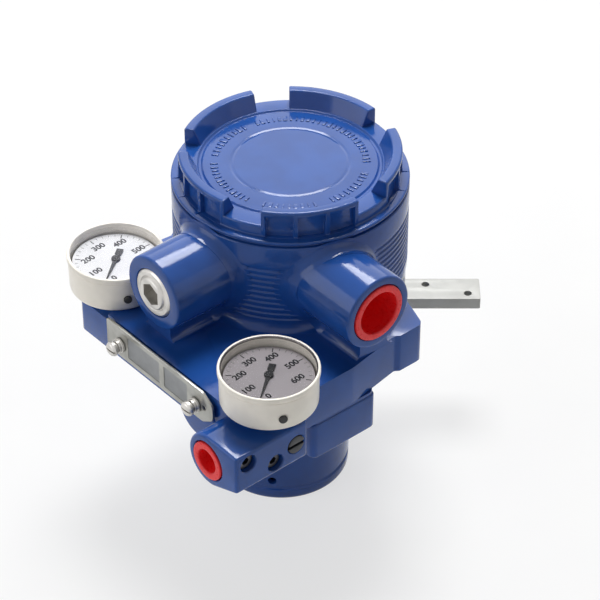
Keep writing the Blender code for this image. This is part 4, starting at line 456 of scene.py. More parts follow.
@dataclass(frozen=True)
class Enamel:
    """Glossy enamel on a casting: faint orange peel over soft casting waves, and fine pale specks of dust scattered at
    random.
    """

    name: str = "blue enamel"
    colour: Colour = (0.015, 0.080, 0.335)
    deep: Colour = (0.013, 0.067, 0.285)
    roughness: float = 0.12
    peel_mm: float = 1.8
    peel_depth: float = 0.010
    wave_mm: float = 16.0
    wave_depth: float = 0.10
    gloss: float = 0.3

    def material(self) -> bpy.types.Material:
        """Builds the node material."""
        shader = Shader(self.name)
        waves = shader.noise(self.wave_mm, 2.0)
        peel = shader.noise(self.peel_mm, 2.0)
        specks = shader.noise(0.7, 1.0).ramp(0.70, 0.78)
        tone = shader.mix(waves.ramp(0.3, 0.7), self.deep, self.colour)
        tone = shader.mix(specks * 0.08, tone, (0.08, 0.13, 0.30))
        normal = shader.bump(waves, self.wave_depth)
        normal = shader.bump(peel, self.peel_depth, normal=normal)
        rough = peel.ramp(0.3, 0.7, self.roughness - 0.04, self.roughness + 0.05)
        shader.set(base_color=tone, roughness=rough, normal=normal, specular_ior_level=self.gloss, ior=1.5)
        return shader.material


@dataclass(frozen=True)
class Plated:
    """Plated or bare metal with fine brush or turning marks."""

    name: str
    colour: Colour
    roughness: float = 0.34
    stretch: tuple[float, float, float] = (1, 1, 12)
    grain_mm: float = 0.9
    grain_depth: float = 0.02
    metallic: float = 1.0
    stain: float = 0.25

    def material(self) -> bpy.types.Material:
        """Builds the node material."""
        shader = Shader(self.name)
        grain = shader.noise(self.grain_mm, 4.0, self.stretch)
        cloud = shader.noise(7.0, 3.0)
        dull = tuple(part * (1 - self.stain) for part in self.colour)
        tone = shader.mix(cloud.ramp(0.35, 0.75), self.colour, dull)
        rough = (grain * 0.16) + (cloud * 0.14) + (self.roughness - 0.15)
        shader.set(base_color=tone, roughness=rough, metallic=self.metallic,
                   normal=shader.bump(grain, self.grain_depth))
        return shader.material


@dataclass(frozen=True)
class Moulded:
    """Moulded plastic, rubber or resin: slight mottling and a fine grain."""

    name: str
    colour: Colour
    roughness: float = 0.4
    grain_mm: float = 0.5
    grain_depth: float = 0.02
    mottle: float = 0.12
    specular: float = 0.5

    def material(self) -> bpy.types.Material:
        """Builds the node material."""
        shader = Shader(self.name)
        grain = shader.noise(self.grain_mm, 2.0)
        cloud = shader.noise(6.0, 2.0)
        darker = tuple(part * (1 - self.mottle) for part in self.colour)
        tone = shader.mix(cloud.ramp(0.3, 0.7), self.colour, darker)
        rough = grain.ramp(0.3, 0.7, self.roughness - 0.05, self.roughness + 0.06)
        shader.set(base_color=tone, roughness=rough, normal=shader.bump(grain, self.grain_depth),
                   specular_ior_level=self.specular)
        return shader.material


@dataclass(frozen=True)
class Pane:
    """Thin clear gauge window."""

    name: str = "window pane"

    def material(self) -> bpy.types.Material:
        """Builds the node material."""
        shader = Shader(self.name)
        smear = shader.noise(5.0, 3.0).ramp(0.4, 0.8)
        shader.set(base_color=(0.2, 0.21, 0.22), roughness=smear * 0.05 + 0.07, alpha=smear * 0.02 + 0.03,
                   ior=1.5, specular_ior_level=0.3)
        return shader.material


class Finishes:
    """Every finish of the positioner, made once and handed out by name."""

    RECIPES: dict[str, Any] = {
        "enamel": Enamel(),
        "red": Moulded("red cap plastic", (0.88, 0.018, 0.022), 0.3, 1.6, 0.002, 0.04, 0.3),
        "zinc": Plated("zinc plate", (0.70, 0.68, 0.65), 0.36, (1, 1, 3), 1.4, 0.006),
        "steel": Plated("turned steel", (0.55, 0.55, 0.54), 0.32),
        "lever": Plated("satin lever steel", (0.38, 0.38, 0.36), 0.5, (12, 1, 1), 0.6, 0.01, 0.25, 0.08),
        "brass": Plated("turned brass", (0.62, 0.46, 0.20), 0.32),
        "copper": Plated("spring tube copper", (0.60, 0.30, 0.16), 0.34),
        "aluminium": Plated("machined aluminium", (0.70, 0.71, 0.72), 0.36),
        "plate": Plated("name plate metal", (0.42, 0.42, 0.39), 0.36, (10, 1, 1), 0.5, 0.012, 0.85),
        "panel": Moulded("name plate panel", (0.30, 0.31, 0.32), 0.5),
        "cream": Moulded("cream case enamel", (0.93, 0.88, 0.79), 0.34, 1.6, 0.004, 0.05),
        "dial": Moulded("dial paper white", (0.80, 0.80, 0.82), 0.6, 0.4, 0.002, 0.03, 0.2),
        # The shaded dial is the same white dial paper, painted darker grey as shade, for the right gauge.
        "shaded dial": Moulded("dial paper painted shade", (0.30, 0.275, 0.29), 0.6, 0.4, 0.002, 0.05, 0.2),
        "print": Moulded("dial print", (0.008, 0.008, 0.010), 0.6, 0.4, 0.004, 0.05, 0.1),
        "pointer": Moulded("pointer black", (0.006, 0.006, 0.007), 0.5, specular=0.1),
        # A dark grey print, lighter than the black print, used for the left gauge's scale and pointer.
        "lighter print": Moulded("lighter dial print", (0.10, 0.10, 0.11), 0.6, 0.4, 0.004, 0.05, 0.1),
        "bezel": Plated("bezel metal", (0.16, 0.15, 0.15), 0.3),
        "dark plug": Plated("blackened plug", (0.13, 0.13, 0.14), 0.42),
        "pane": Pane(),
        "black": Moulded("black oxide", (0.022, 0.024, 0.030), 0.38),
        "rubber": Moulded("black rubber", (0.028, 0.028, 0.028), 0.65, 0.6, 0.03),
        "gasket": Moulded("gasket sheet", (0.035, 0.037, 0.040), 0.75, 0.8, 0.05),
        "resin": Moulded("black resin", (0.035, 0.035, 0.038), 0.5, 0.7, 0.03),
        "board": Moulded("circuit board green", (0.02, 0.16, 0.07), 0.4),
    }
    made: dict[str, bpy.types.Material] = {}

    @classmethod
    def get(cls, name: str) -> bpy.types.Material:
        """Returns the material of a finish."""
        if name not in cls.made:
            cls.made[name] = cls.RECIPES[name].material()
        return cls.made[name]

    @classmethod
    def dress(cls, obj: bpy.types.Object, name: str) -> bpy.types.Object:
        """Gives the whole object one finish."""
        obj.data.materials.clear()
        obj.data.materials.append(cls.get(name))
        for face in obj.data.polygons:
            face.material_index = 0
        return obj

    @classmethod
    def dress_node(cls, name: str, finish: str) -> None:
        """Gives a CAD node a finish and leaves its mesh as it is."""
        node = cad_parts[name]
        node.data.materials.clear()
        node.data.materials.append(cls.get(finish))


@dataclass
class Casting:
    """The blue die-cast housing: ribbed barrel, slab, two cable entries and the port block."""

    barrel_radius: float = 49.0
    barrel_top: float = 134.7
    slab_bottom: float = 74.9
    slab_top: float = 93.4
    cavity_radius: float = 43.0
    cavity_floor: float = 98.4
    rib_low: float = 98.4
    rib_high: float = 124.9
    rib_count: int = 10
    rib_depth: float = 0.6
    foot_flare: float = 4.0
    thread_pitch: float = 1.5
    thread_depth: float = 0.35
    entry_height: float = 114.9
    entry_radius: float = 16.2
    entry_taper: float = 1.4 / 75.0
    entry_flare: float = 4.5
    web_half: float = 7.2
    web_setback: float = 2.5
    front_y: float = -81.6
    port: Point = (64.0, 78.5)
    port_radius: float = 11.8
    block_right: float = 81.6
    block_front: float = -96.8
    block_back: float = -60.5
    block_bottom: float = 72.7
    left_top: float = 90.3

    def barrel_profile(self) -> list[Point]:
        """Returns the barrel's outer ribs, rim, threaded bore and floor."""
        radius = self.barrel_radius
        pitch = (self.rib_high - self.rib_low) / self.rib_count
        foot = self.slab_bottom + 0.06
        corners = [Corner(0, foot), Corner(radius - 0.6, foot, 1.2),
                   Corner(radius - 0.6, self.slab_top + 0.6, 0.5), Corner(radius, self.slab_top + 1.6, 0.5),
                   Corner(radius, self.rib_low)]
        for rib in range(self.rib_count):
            low = self.rib_low + rib * pitch
            corners.append(Corner(radius - self.rib_depth, low + 0.18 * pitch, 0.3))
            corners.append(Corner(radius - self.rib_depth, low + 0.42 * pitch, 0.3))
            corners.append(Corner(radius - 0.05, low + 0.62 * pitch, 0.3))
            corners.append(Corner(radius, low + pitch, 0.3))
        rim = self.barrel_top
        corners += [Corner(radius, rim, 0.8), Corner(radius - 1.6, rim, 0.3), Corner(radius - 1.8, rim + 0.9, 0.3),
                    Corner(self.cavity_radius + 0.6, rim + 0.9, 0.3)]
        thread = rim - 1.2
        while thread > rim - 12 * 0.8:
            corners.append(Corner(self.cavity_radius, thread))
            corners.append(Corner(self.cavity_radius + self.thread_depth, thread - self.thread_pitch / 2))
            thread -= self.thread_pitch
        corners += [Corner(self.cavity_radius, thread), Corner(self.cavity_radius, self.cavity_floor, 2.0),
                    Corner(0, self.cavity_floor)]
        return rounded(corners, steps=3)

    def barrel(self) -> bpy.types.Object:
        """Turns the barrel."""
        return turned("barrel", self.barrel_profile(), FINE + 32)

    def foot(self) -> bpy.types.Object:
        """Turns the soft flare where the barrel grows out of the slab."""
        radius = self.barrel_radius
        flare = self.foot_flare
        profile = [(radius - 3, self.slab_top - 1)] + [(radius + flare, self.slab_top - 1)] + arc(
            (radius + flare, self.slab_top + flare - 0.05), flare, 270, 180, 10) + [
            (radius - 3, self.slab_top + flare)]
        ring = turned("foot", profile, FINE, closed=True)
        keep = raised("keep", [(-60, 21), (75, 21), (75, 80), (-60, 80)], 40, (0, 0, self.slab_top - 20))
        return cut_by(ring, keep)

    def slab(self) -> bpy.types.Object:
        """Raises the slab and lowers its left front part."""
        corners = [Corner(-38, self.front_y, 4), Corner(71.6, self.front_y, 3), Corner(71.6, -28, 14),
                   Corner(67.4, -2, 1.5), Corner(68.8, 0, 1.5), Corner(68.8, 12, 3.5), Corner(40, 22, 14),
                   Corner(-40, 22, 4), Corner(-46, -44, 10), Corner(-46, -72, 5)]
        slab = raised("slab", rounded(corners, closed=True, steps=4), self.slab_top - self.slab_bottom,
                      (0, 0, self.slab_bottom))
        step = raised("step", [(-80, -44), (-80, -120), (-19, -120), (-19, -44)], 30, (0, 0, self.left_top))
        return eased(cut_by(slab, step), 1.9, 4, 50)

    def block(self) -> bpy.types.Object:
        """Raises the port block with its round port boss."""
        x, z = self.port
        outline = [(self.block_right, self.block_bottom), (self.block_right, self.left_top)] + arc(
            (x, z), self.port_radius, 90, 285, 26)
        block = raised("block", outline, self.block_back - self.block_front, (0, self.block_back, 0),
                       Axis.FRONT)
        eased(block, 1.3, 4, 50)
        holes = [turned("port bore", self.bore(8.7, 11.7, 4.2, 26), ROUND, (x, self.block_front, z),
                        Axis.BACK)]
        for name, radius in (("front_block_plug", 3.8), ("rear_block_plug", 3.8), ("mode_switch", 4.09)):
            centre = node_centre(name)
            holes.append(turned("hole", self.bore(radius, 9, radius * 0.6, 9.4), SMALL,
                                (self.block_right, centre.y, centre.z), Axis.LEFT))
        for hole in holes:
            cut_by(block, hole)
        return block

    @staticmethod
    def bore(radius: float, depth: float, inner: float, inner_depth: float, lip: float = 0.4) -> list[Point]:
        """Returns the profile of a cutter for a stepped hole with a chamfered mouth."""
        return [(0, -3), (radius + lip, -3), (radius + lip, 0), (radius, lip), (radius, depth), (inner, depth),
                (inner, inner_depth), (0, inner_depth)]

    def lobe(self) -> bpy.types.Object:
        """Turns the second, blind boss beside the port."""
        x, z = self.port
        length = 30.0
        profile = rounded([Corner(0, 0), Corner(self.port_radius, 0, 1.6), Corner(self.port_radius, length, 1.6),
                           Corner(0, length)])
        return turned("lobe", profile, ROUND, (x - 25, self.front_y - 0.7, z), Axis.BACK)

    def keyhole(self, radius: float, grow: float) -> list[Point]:
        """Returns half of an entry's section, web and foot, from the slab up to the crown.

        Args:
            radius: The entry's radius at this section.
            grow: How far the flare pushes the section outwards.

        Returns:
            Points of (sideways, height), for the positive side.
        """
        rho = radius + grow
        half = self.web_half + grow
        foot = 3.5
        blend = 3.0
        base = self.slab_top - 0.3
        drop = math.sqrt((rho + blend) ** 2 - (half + blend) ** 2)
        centre = (half + blend, self.entry_height - drop)
        meet = math.degrees(math.atan2(drop, half + blend))
        points = arc((half + foot, base + foot), foot, 270, 180, 6)
        points += arc(centre, blend, 180, 180 - meet, 5)
        points += arc((0, self.entry_height), rho, -meet, 90, 30)
        return points

    def entry(self, name: str, along_y: bool, side: float, end: float, bore: float, depth: float) -> list[
            bpy.types.Object]:
        """Models one cable entry: its flared root with the web, and its turned boss.

        Args:
            name: The name of the pieces.
            along_y: True for the entry that points to -Y, False for the one that points to +X.
            side: The offset of the entry's axis from the barrel's.
            end: The distance of the end face from the barrel's axis.
            bore: The radius of the bore's mouth.
            depth: The depth of the bore.

        Returns:
            The pieces.
        """
        wide = self.entry_radius + self.entry_taper * (end - 48)
        shape = bmesh.new()
        loops = []
        steps = 7
        for step in range(steps + 2):
            turn = math.pi / 2 * min(step / steps, 1)
            grow = self.entry_flare * (1 - math.sin(turn)) if step <= steps else -1.0
            half = self.keyhole(wide, grow)
            loop = []
            for u, v in half + [(-u, v) for u, v in reversed(half[:-1])]:
                reach = math.sqrt(max(self.barrel_radius ** 2 - (side + u) ** 2, 1.0)) - 0.3
                far = reach + self.entry_flare * (1 - math.cos(turn))
                loop.append(shape.verts.new((side + u, -far, v) if along_y else (far, side + u, v)))
            loops.append(loop)
        for low, high in zip(loops, loops[1:]):
            for index in range(len(low) - 1):
                shape.faces.new((low[index], low[index + 1], high[index + 1], high[index]))
        shape.faces.new(loops[-1])
        bmesh.ops.recalc_face_normals(shape, faces=shape.faces)
        mesh = bpy.data.meshes.new(name)
        shape.to_mesh(mesh)
        shape.free()
        root = bpy.data.objects.new(name + " root", mesh)
        bpy.context.scene.collection.objects.link(root)
        start = 36.0
        profile = rounded([Corner(0, start), Corner(wide, start + 6), Corner(self.entry_radius, end, 1.1),
                           Corner(bore, end, 0.35), Corner(bore, end - depth), Corner(0, end - depth)], steps=4)
        boss = turned(name, profile, FINE - 32, (side, 0, self.entry_height) if along_y
                      else (0, side, self.entry_height), Axis.FRONT if along_y else Axis.RIGHT)
        return [root, boss, self.web(name + " web", along_y, side, end)]

    def web(self, name: str, along_y: bool, side: float, end: float) -> bpy.types.Object:
        """Raises the web between an entry and the slab, with soft corners above and below."""
        crown = self.keyhole(self.entry_radius, -0.05)
        half = [point for point in crown if point[1] < self.entry_height - self.entry_radius * 0.8]
        outline = half + [(-u, v) for u, v in reversed(half)]
        start = 36.0
        web = raised(name, outline, end - self.web_setback - start,
                     (side, -start, 0) if along_y else (start, side, 0), Axis.FRONT if along_y else Axis.RIGHT)
        return eased(web, 3.4, 6, 60)

    def recess(self) -> bpy.types.Object:
        """Makes the cutter of the shaft plate's recess in the underside."""
        low, high = node_box("shaft_plate")
        left = low.x + 21.5
        right = high.x - 14.5
        middle = (low.y + high.y) / 2
        spread = math.degrees(math.acos((21.5 - 14.5) / (right - left)))
        outline = (arc((left, middle), 21.8, spread, 360 - spread, 40)
                   + arc((right, middle), 14.8, -spread, spread, 24))
        return raised("recess", outline, 13.3, (0, 0, self.slab_bottom - 10))

    def build(self) -> None:
        """Models the casting and hands it to the frame."""
        barrel = self.barrel()
        slab = self.slab()
        cut_by(barrel, self.recess())
        cut_by(slab, self.recess())
        left = node_centre("conduit_plug")
        right = node_centre("conduit_cap")
        pieces = [barrel, slab, self.foot(), self.block(), self.lobe()]
        pieces += self.entry("left entry", True, left.x, 75.4, 10.8, 13.3)
        pieces += self.entry("right entry", False, right.y, 71.8, 12.7, 16.7)
        casting = fused("housing_casting", pieces)
        Finishes.dress(casting, "enamel")
        settle(casting, "housing", "main_housing", smooth=38)


@dataclass
class Cover:
    """The screw cover: flange, threaded skirt, stepped disc, castellated lugs and raised ticks."""

    base: float = 136.0
    flange_top: float = 137.5
    plate: float = 142.5
    top: float = 149.5
    flange_radius: float = 49.0
    body_radius: float = 45.8
    skirt_radius: float = 42.6
    skirt_inner: float = 39.1
    skirt_low: float = 128.2
    groove_radius: float = 24.0
    step_radius: float = 37.4
    lugs: int = 5
    lug_span: float = 51.5
    first_lug: float = -29.5
    pockets: int = 3
    rib_angle: float = 2.4
    pocket_depth: float = 1.9
    pocket_low: float = 137.55
    pocket_high: float = 147.3
    seal_radius: float = 43.75
    tick_radius: float = 31.2
    tick_arcs: tuple[tuple[float, float], ...] = ((-128, -74), (-60, -22), (-8, 34), (50, 166), (178, 220))

    def disc(self) -> bpy.types.Object:
        """Turns the cover without its lugs."""
        corners = [Corner(0, self.plate - 4.0), Corner(self.skirt_inner, self.plate - 4.0, 1.0),
                   Corner(self.skirt_inner, self.skirt_low, 0.5)]
        thread = self.skirt_low + 0.4
        while thread < self.base - 1.5:
            corners.append(Corner(self.skirt_radius - 0.45, thread))
            corners.append(Corner(self.skirt_radius, thread + 0.75))
            thread += 1.5
        corners += [Corner(self.skirt_radius - 0.3, thread), Corner(self.skirt_radius, self.base + 0.6, 0.3),
                    Corner(44.9, self.base + 0.6, 0.3), Corner(44.9, self.base, 0.2),
                    Corner(self.flange_radius, self.base, 0.9),
                    Corner(self.flange_radius, self.flange_top, 0.7),
                    Corner(self.body_radius - 0.05, self.flange_top + 0.25, 0.6),
                    Corner(self.body_radius - 0.05, self.plate, 0.9),
                    Corner(self.step_radius + 0.7, self.plate, 0.4), Corner(self.step_radius, self.plate - 0.75, 0.4),
                    Corner(self.step_radius - 0.9, self.plate - 0.75, 0.4),
                    Corner(self.step_radius - 1.6, self.plate - 0.1, 0.4),
                    Corner(self.groove_radius + 1.0, self.plate - 0.1, 0.5),
                    Corner(self.groove_radius, self.plate - 0.36, 0.5),
                    Corner(self.groove_radius - 1.0, self.plate - 0.1, 0.5), Corner(0, self.plate - 0.1)]
        return turned("cover disc", rounded(corners, steps=4), FINE + 32)

    def pocket(self, index: int, spare: float = 0.0) -> bpy.types.Object:
        """Raises the cutter of one pocket of the first lug.

        Args:
            index: Which pocket of the lug.
            spare: How much larger than the pocket the cutter is.

        Returns:
            The cutter.
        """
        span = (self.lug_span - (self.pockets + 1) * self.rib_angle) / self.pockets
        start = -self.lug_span / 2 + self.rib_angle + index * (span + self.rib_angle)
        inner = self.body_radius - self.pocket_depth - spare
        turn = math.degrees(spare / inner)
        outline = (arc((0, 0), 52, start - turn, start + span + turn, 12)
                   + arc((0, 0), inner, start + span + turn, start - turn, 12))
        low = self.pocket_low - spare
        return raised("pocket", outline, self.pocket_high - low, (0, 0, low))

    def lug(self) -> bpy.types.Object:
        """Turns one lug about +X, rounds it and cuts its pockets."""
        foot = self.flange_top - 1.2
        corners = [Corner(self.body_radius, foot), Corner(self.body_radius, self.top, 1.0),
                   Corner(self.body_radius - 4.1, self.top, 0.9), Corner(38.6, self.plate + 0.2, 1.2),
                   Corner(37.9, self.plate - 0.3), Corner(38.6, self.plate - 2.0),
                   Corner(self.body_radius - 3.4, foot)]
        profile = rounded(corners, closed=True, steps=4)
        lug = turned("lug", profile, 40, closed=True, sweep=self.lug_span)
        lug.data.transform(Matrix.Rotation(math.radians(-self.lug_span / 2), 4, "Z"))
        eased(lug, 0.7, 3, 55)
        for index in range(self.pockets):
            cut_by(lug, self.pocket(index))
        return eased(lug, 0.28, 2, 60)

    def ticks(self) -> bpy.types.Object:
        """Makes the ring of plain raised ticks, in arcs, from one block that is copied."""
        shape = bmesh.new()
        for low, high in self.tick_arcs:
            count = int((high - low) / 4.3)
            for step in range(count + 1):
                angle = low + (high - low) * step / count
                tall = (3.3, 3.3, 2.7, 3.3, 3.0)[step % 5]
                wide = (0.9, 1.7, 1.3, 0.7)[step % 4]
                block = bmesh.ops.create_cube(shape, size=1)["verts"]
                place = (Matrix.Rotation(math.radians(angle), 4, "Z")
                         @ Matrix.Translation((self.tick_radius, 0, self.plate)))
                bmesh.ops.scale(shape, vec=(tall, wide, 0.5), verts=block)
                bmesh.ops.transform(shape, matrix=place, verts=block)
        mesh = bpy.data.meshes.new("ticks")
        shape.to_mesh(mesh)
        shape.free()
        ticks = bpy.data.objects.new("ticks", mesh)
        bpy.context.scene.collection.objects.link(ticks)
        return eased(ticks, 0.15, 2, 40)

    def build(self) -> None:
        """Models the cover and hands it to the frame."""
        disc = self.disc()
        pitch = 360 / self.lugs
        first = self.lug()
        pieces = [disc]
        for number in range(self.lugs):
            turn = self.first_lug + number * pitch
            for index in range(self.pockets):
                tool = self.pocket(index, 0.12)
                tool.data.transform(Matrix.Rotation(math.radians(turn), 4, "Z"))
                cut_by(disc, tool)
            pieces.append(turned_copy(first, turn))
        bpy.data.objects.remove(first, do_unlink=True)
        pieces.append(self.ticks())
        cover = fused("screw_cover", pieces)
        Finishes.dress(cover, "enamel")
        settle(cover, "cover", "cover", smooth=38)
        self.seal()

    def seal(self) -> None:
        """Turns the rubber ring that lies under the flange."""
        ring = turned("cover_seal_visual", arc((self.seal_radius, self.base + 0.15), 0.5, 0, 330, 11), FINE, closed=True)
        Finishes.dress(ring, "rubber")
        settle(ring, "cover_seal", "cover_seal", smooth=60)


def hexagon(radius: float, phase: float = 0.0) -> list[Point]:
    """Returns a regular hexagon."""
    return [(radius * math.cos(math.radians(phase + 60 * k)), radius * math.sin(math.radians(phase + 60 * k)))
            for k in range(6)]


@dataclass
class Stoppers:
    """What closes the openings: the hexagon plug, two dust caps, block plugs and the mode switch."""

    plug_radius: float = 10.5
    cap_radius: float = 12.4
    cap_inner: float = 9.4
    cap_length: float = 17.0
    port_radius: float = 8.4
    port_inner: float = 5.2
    port_length: float = 12.0

    def plug(self) -> None:
        """Models the plated plug with its hexagon socket."""
        low, _ = node_box("conduit_plug")
        centre = node_centre("conduit_plug")
        mouth = low.y + 1.2
        profile = rounded([Corner(0, -13), Corner(9.6, -13, 0.4), Corner(self.plug_radius, -12, 0.4),
                           Corner(self.plug_radius, -0.4, 0.4), Corner(9.7, 0.4, 0.3), Corner(7.9, 0.35, 0.3),
                           Corner(7.4, -0.35, 0.25), Corner(7.0, 0.6, 0.25), Corner(6.6, 1.2, 0.4), Corner(0, 1.2)],
                          steps=3)
        plug = turned("conduit_plug_visual", profile, ROUND, (centre.x, mouth, centre.z), Axis.FRONT)
        socket = raised("socket", hexagon(5.2, 30), 14, (centre.x, mouth + 5.8, centre.z), Axis.FRONT)
        cut_by(plug, socket)
        eased(plug, 0.25, 2, 50)
        Finishes.dress(plug, "zinc")
        settle(plug, "housing", "conduit_plug")

    def cap(self, node: str, axis: Axis, mouth: Vector, sizes: tuple[float, float, float]) -> None:
        """Models one hollow dust cap.

        Args:
            node: The CAD node that it stands for.
            axis: The way its mouth faces.
            mouth: The middle of its mouth.
            sizes: Outer radius, inner radius and length.
        """
        radius, inner, length = sizes
        profile = rounded([Corner(0, -length), Corner(radius - 0.6, -length, 0.6),
                           Corner(radius - 0.35, -1.8, 0.3), Corner(radius, -1.5, 0.2), Corner(radius, 0, 0.55),
                           Corner(inner, 0, 0.7), Corner(inner - 0.4, -length + 1.5, 1.0),
                           Corner(0, -length + 1.5)], steps=5)
        cap = turned(node + "_visual", profile, ROUND, mouth, axis)
        Finishes.dress(cap, "red")
        settle(cap, "housing", node)

    def small_plug(self, node: str) -> None:
        """Models one sunk plug with a hexagon socket."""
        _, high = node_box(node)
        centre = node_centre(node)
        profile = rounded([Corner(0, -6.5), Corner(3.5, -6.5, 0.3), Corner(3.5, 0, 0.5), Corner(0, 0)])
        plug = turned(node + "_visual", profile, SMALL, (high.x, centre.y, centre.z), Axis.RIGHT)
        cut_by(plug, raised("socket", hexagon(1.75), 6, (high.x - 3, centre.y, centre.z), Axis.RIGHT))
        Finishes.dress(plug, "dark plug")
        settle(plug, "housing", node)

    def switch(self) -> None:
        """Models the slotted mode switch."""
        _, high = node_box("mode_switch")
        centre = node_centre("mode_switch")
        profile = rounded([Corner(0, -9), Corner(4.0, -9, 0.3), Corner(4.0, 0, 0.5), Corner(0, 0)])
        switch = turned("mode_switch_visual", profile, SMALL + 16, (high.x, centre.y, centre.z), Axis.RIGHT)
        slot = raised("slot", [(-6, -0.7), (6, -0.7), (6, 0.7), (-6, 0.7)], 4,
                      (high.x - 1.8, centre.y, centre.z), Axis.RIGHT)
        cut_by(switch, slot)
        Finishes.dress(eased(switch, 0.15, 2, 50), "black")
        settle(switch, "mode_switch", "mode_switch")

    def build(self) -> None:
        """Models every stopper."""
        self.plug()
        _, high = node_box("conduit_cap")
        middle = node_centre("conduit_cap")
        self.cap("conduit_cap", Axis.RIGHT, Vector((high.x, middle.y, middle.z)),
                 (self.cap_radius, self.cap_inner, self.cap_length))
        low, _ = node_box("port_cap")
        middle = node_centre("port_cap")
        self.cap("port_cap", Axis.FRONT, Vector((middle.x, low.y, middle.z)),
                 (self.port_radius, self.port_inner, self.port_length))
        self.small_plug("front_block_plug")
        self.small_plug("rear_block_plug")
        self.switch()


@dataclass
class Gauge:
    """A pressure gauge: cream case with a rolled rim, window, printed dial, pointer and vent plug."""

    side: str = "left"
    radius: float = 20.3
    body: float = 19.8
    lip: float = 18.7
    dial_radius: float = 18.0
    zero: float = 323.5
    step: float = -47.2
    upright: float = 182.5
    vent_angle: float = -24.0
    paper: str = "dial"
    bezel: str = "cream"
    ink: str = "lighter print"
    hand: str = "lighter print"

    def case(self, centre: Vector, low: float, top: float) -> None:
        """Turns the case."""
        rim = top - 2.4
        profile = rounded([
            Corner(5.6, low), Corner(self.body - 0.2, low, 1.4), Corner(self.body, rim - 0.5, 0.3),
            Corner(self.body - 0.35, rim - 0.25, 0.15), Corner(self.body - 0.1, rim, 0.2),
            Corner(self.radius, rim + 0.3, 0.3), Corner(self.radius, top, 0.6),
            Corner(self.lip + 0.35, top, 0.35), Corner(self.lip, top - 0.9, 0.2), Corner(18.85, top - 1.1),
            Corner(18.75, low + 1), Corner(5.6, low + 1)], closed=True, steps=4)
        case = turned(self.side + "_gauge_case_visual", profile, FINE, centre, closed=True)
        hole = turned("hole", [(0, 0), (1.8, 0), (1.8, 6), (0, 6)], SMALL)
        spoke = polar(17, self.vent_angle)
        z = top - 10.5
        hole.data.transform(Matrix.Translation((centre.x + spoke.x, centre.y + spoke.y, z))
                            @ Matrix.Rotation(math.radians(self.vent_angle), 4, "Z")
                            @ Matrix.Rotation(math.radians(90), 4, "Y"))
        cut_by(case, hole)
        Finishes.dress(case, "cream")
        case.data.materials.append(Finishes.get(self.bezel))
        for face in case.data.polygons:
            place = face.center
            away = math.hypot(place.x - centre.x, place.y - centre.y)
            if place.z > top - 1.2 and self.lip - 0.2 < away < self.lip + 0.7:
                face.material_index = 1
        settle(case, "housing", self.side + "_gauge_case")

    def dial(self, centre: Vector, z: float) -> None:
        """Makes the dial sheet with its printed scale, as one piece."""
        sheet = turned(self.side + "_gauge_dial_visual", rounded([
            Corner(1.2, z - 0.6), Corner(self.dial_radius, z - 0.6), Corner(self.dial_radius, z, 0.1),
            Corner(1.2, z)], closed=True), ROUND + 32, (centre.x, centre.y, 0), closed=True)
        Finishes.dress(sheet, self.paper)
        prints = []
        for mark in range(61):
            angle = self.zero + self.step * mark / 10
            long = mark % 10 == 0
            if mark % 2 and not long:
                continue
            wide = 0.42 if long else 0.16
            length = 2.3 if long else 1.2
            outline = [(16.9 - length, -wide / 2), (16.9, -wide / 2), (16.9, wide / 2), (16.9 - length, wide / 2)]
            tick = raised("tick", outline, 0.05)
            tick.data.transform(Matrix.Translation((centre.x, centre.y, z - 0.01))
                                @ Matrix.Rotation(math.radians(angle), 4, "Z"))
            prints.append(tick)
        for number in range(1, 7):
            angle = self.zero + self.step * number
            prints.append(self.word(str(number * 100), 4.1, centre + polar(11.4, angle), z))
        prints.append(self.word("0", 3.9, centre + polar(12.2, self.zero - 4), z))
        paint = fused("print", prints)
        Finishes.dress(paint, self.ink)
        sheet = fused(self.side + "_gauge_dial_visual", [sheet, paint])
        settle(sheet, "housing", self.side + "_gauge_dial")

    def word(self, text: str, size: float, place: Vector, z: float) -> bpy.types.Object:
        """Makes a printed number whose feet point away from the dial's upright direction."""
        deselect_all()
        curve = bpy.data.curves.new("word", "FONT")
        curve.body = text
        curve.size = size
        curve.align_x = "CENTER"
        curve.align_y = "CENTER"
        curve.extrude = 0.03
        curve.offset = 0.14
        curve.resolution_u = 3
        word = bpy.data.objects.new("word", curve)
        bpy.context.scene.collection.objects.link(word)
        select_only(word)
        bpy.ops.object.convert(target="MESH")
        word = bpy.context.view_layer.objects.active
        word.data.transform(Matrix.Translation((place.x, place.y, z + 0.02))
                            @ Matrix.Rotation(math.radians(self.upright - 90), 4, "Z"))
        return word

    def pointer(self, centre: Vector, z: float) -> None:
        """Makes the pointer with its wide tail, hub and arbor."""
        outline = [(14.2, -0.2), (14.2, 0.2), (2.2, 0.8), (0, 1.1), (-2.4, 0.75), (-2.9, 1.35), (-6.6, 1.45),
                   (-6.6, -1.45), (-2.9, -1.35), (-2.4, -0.75), (0, -1.1), (2.2, -0.8)]
        hand = eased(raised("hand", outline, 0.4), 0.1, 2, 30)
        hand.data.transform(Matrix.Translation((centre.x, centre.y, z))
                            @ Matrix.Rotation(math.radians(307), 4, "Z"))
        hub = turned("hub", rounded([Corner(0, -0.2), Corner(1.9, -0.2, 0.1), Corner(1.9, 0.7, 0.3),
                                     Corner(0.9, 0.75, 0.1), Corner(0.75, 0.95, 0.1), Corner(0, 0.95)]),
                     SMALL, (centre.x, centre.y, z))
        arbor = turned("arbor", [(0, -5.5), (0.9, -5.5), (0.9, 0), (0, 0)], SMALL, (centre.x, centre.y, z))
        hand = fused(self.side + "_gauge_pointer_visual", [hand, hub, arbor])
        Finishes.dress(hand, self.hand)
        settle(hand, self.side + "_pointer", self.side + "_gauge_pointer")

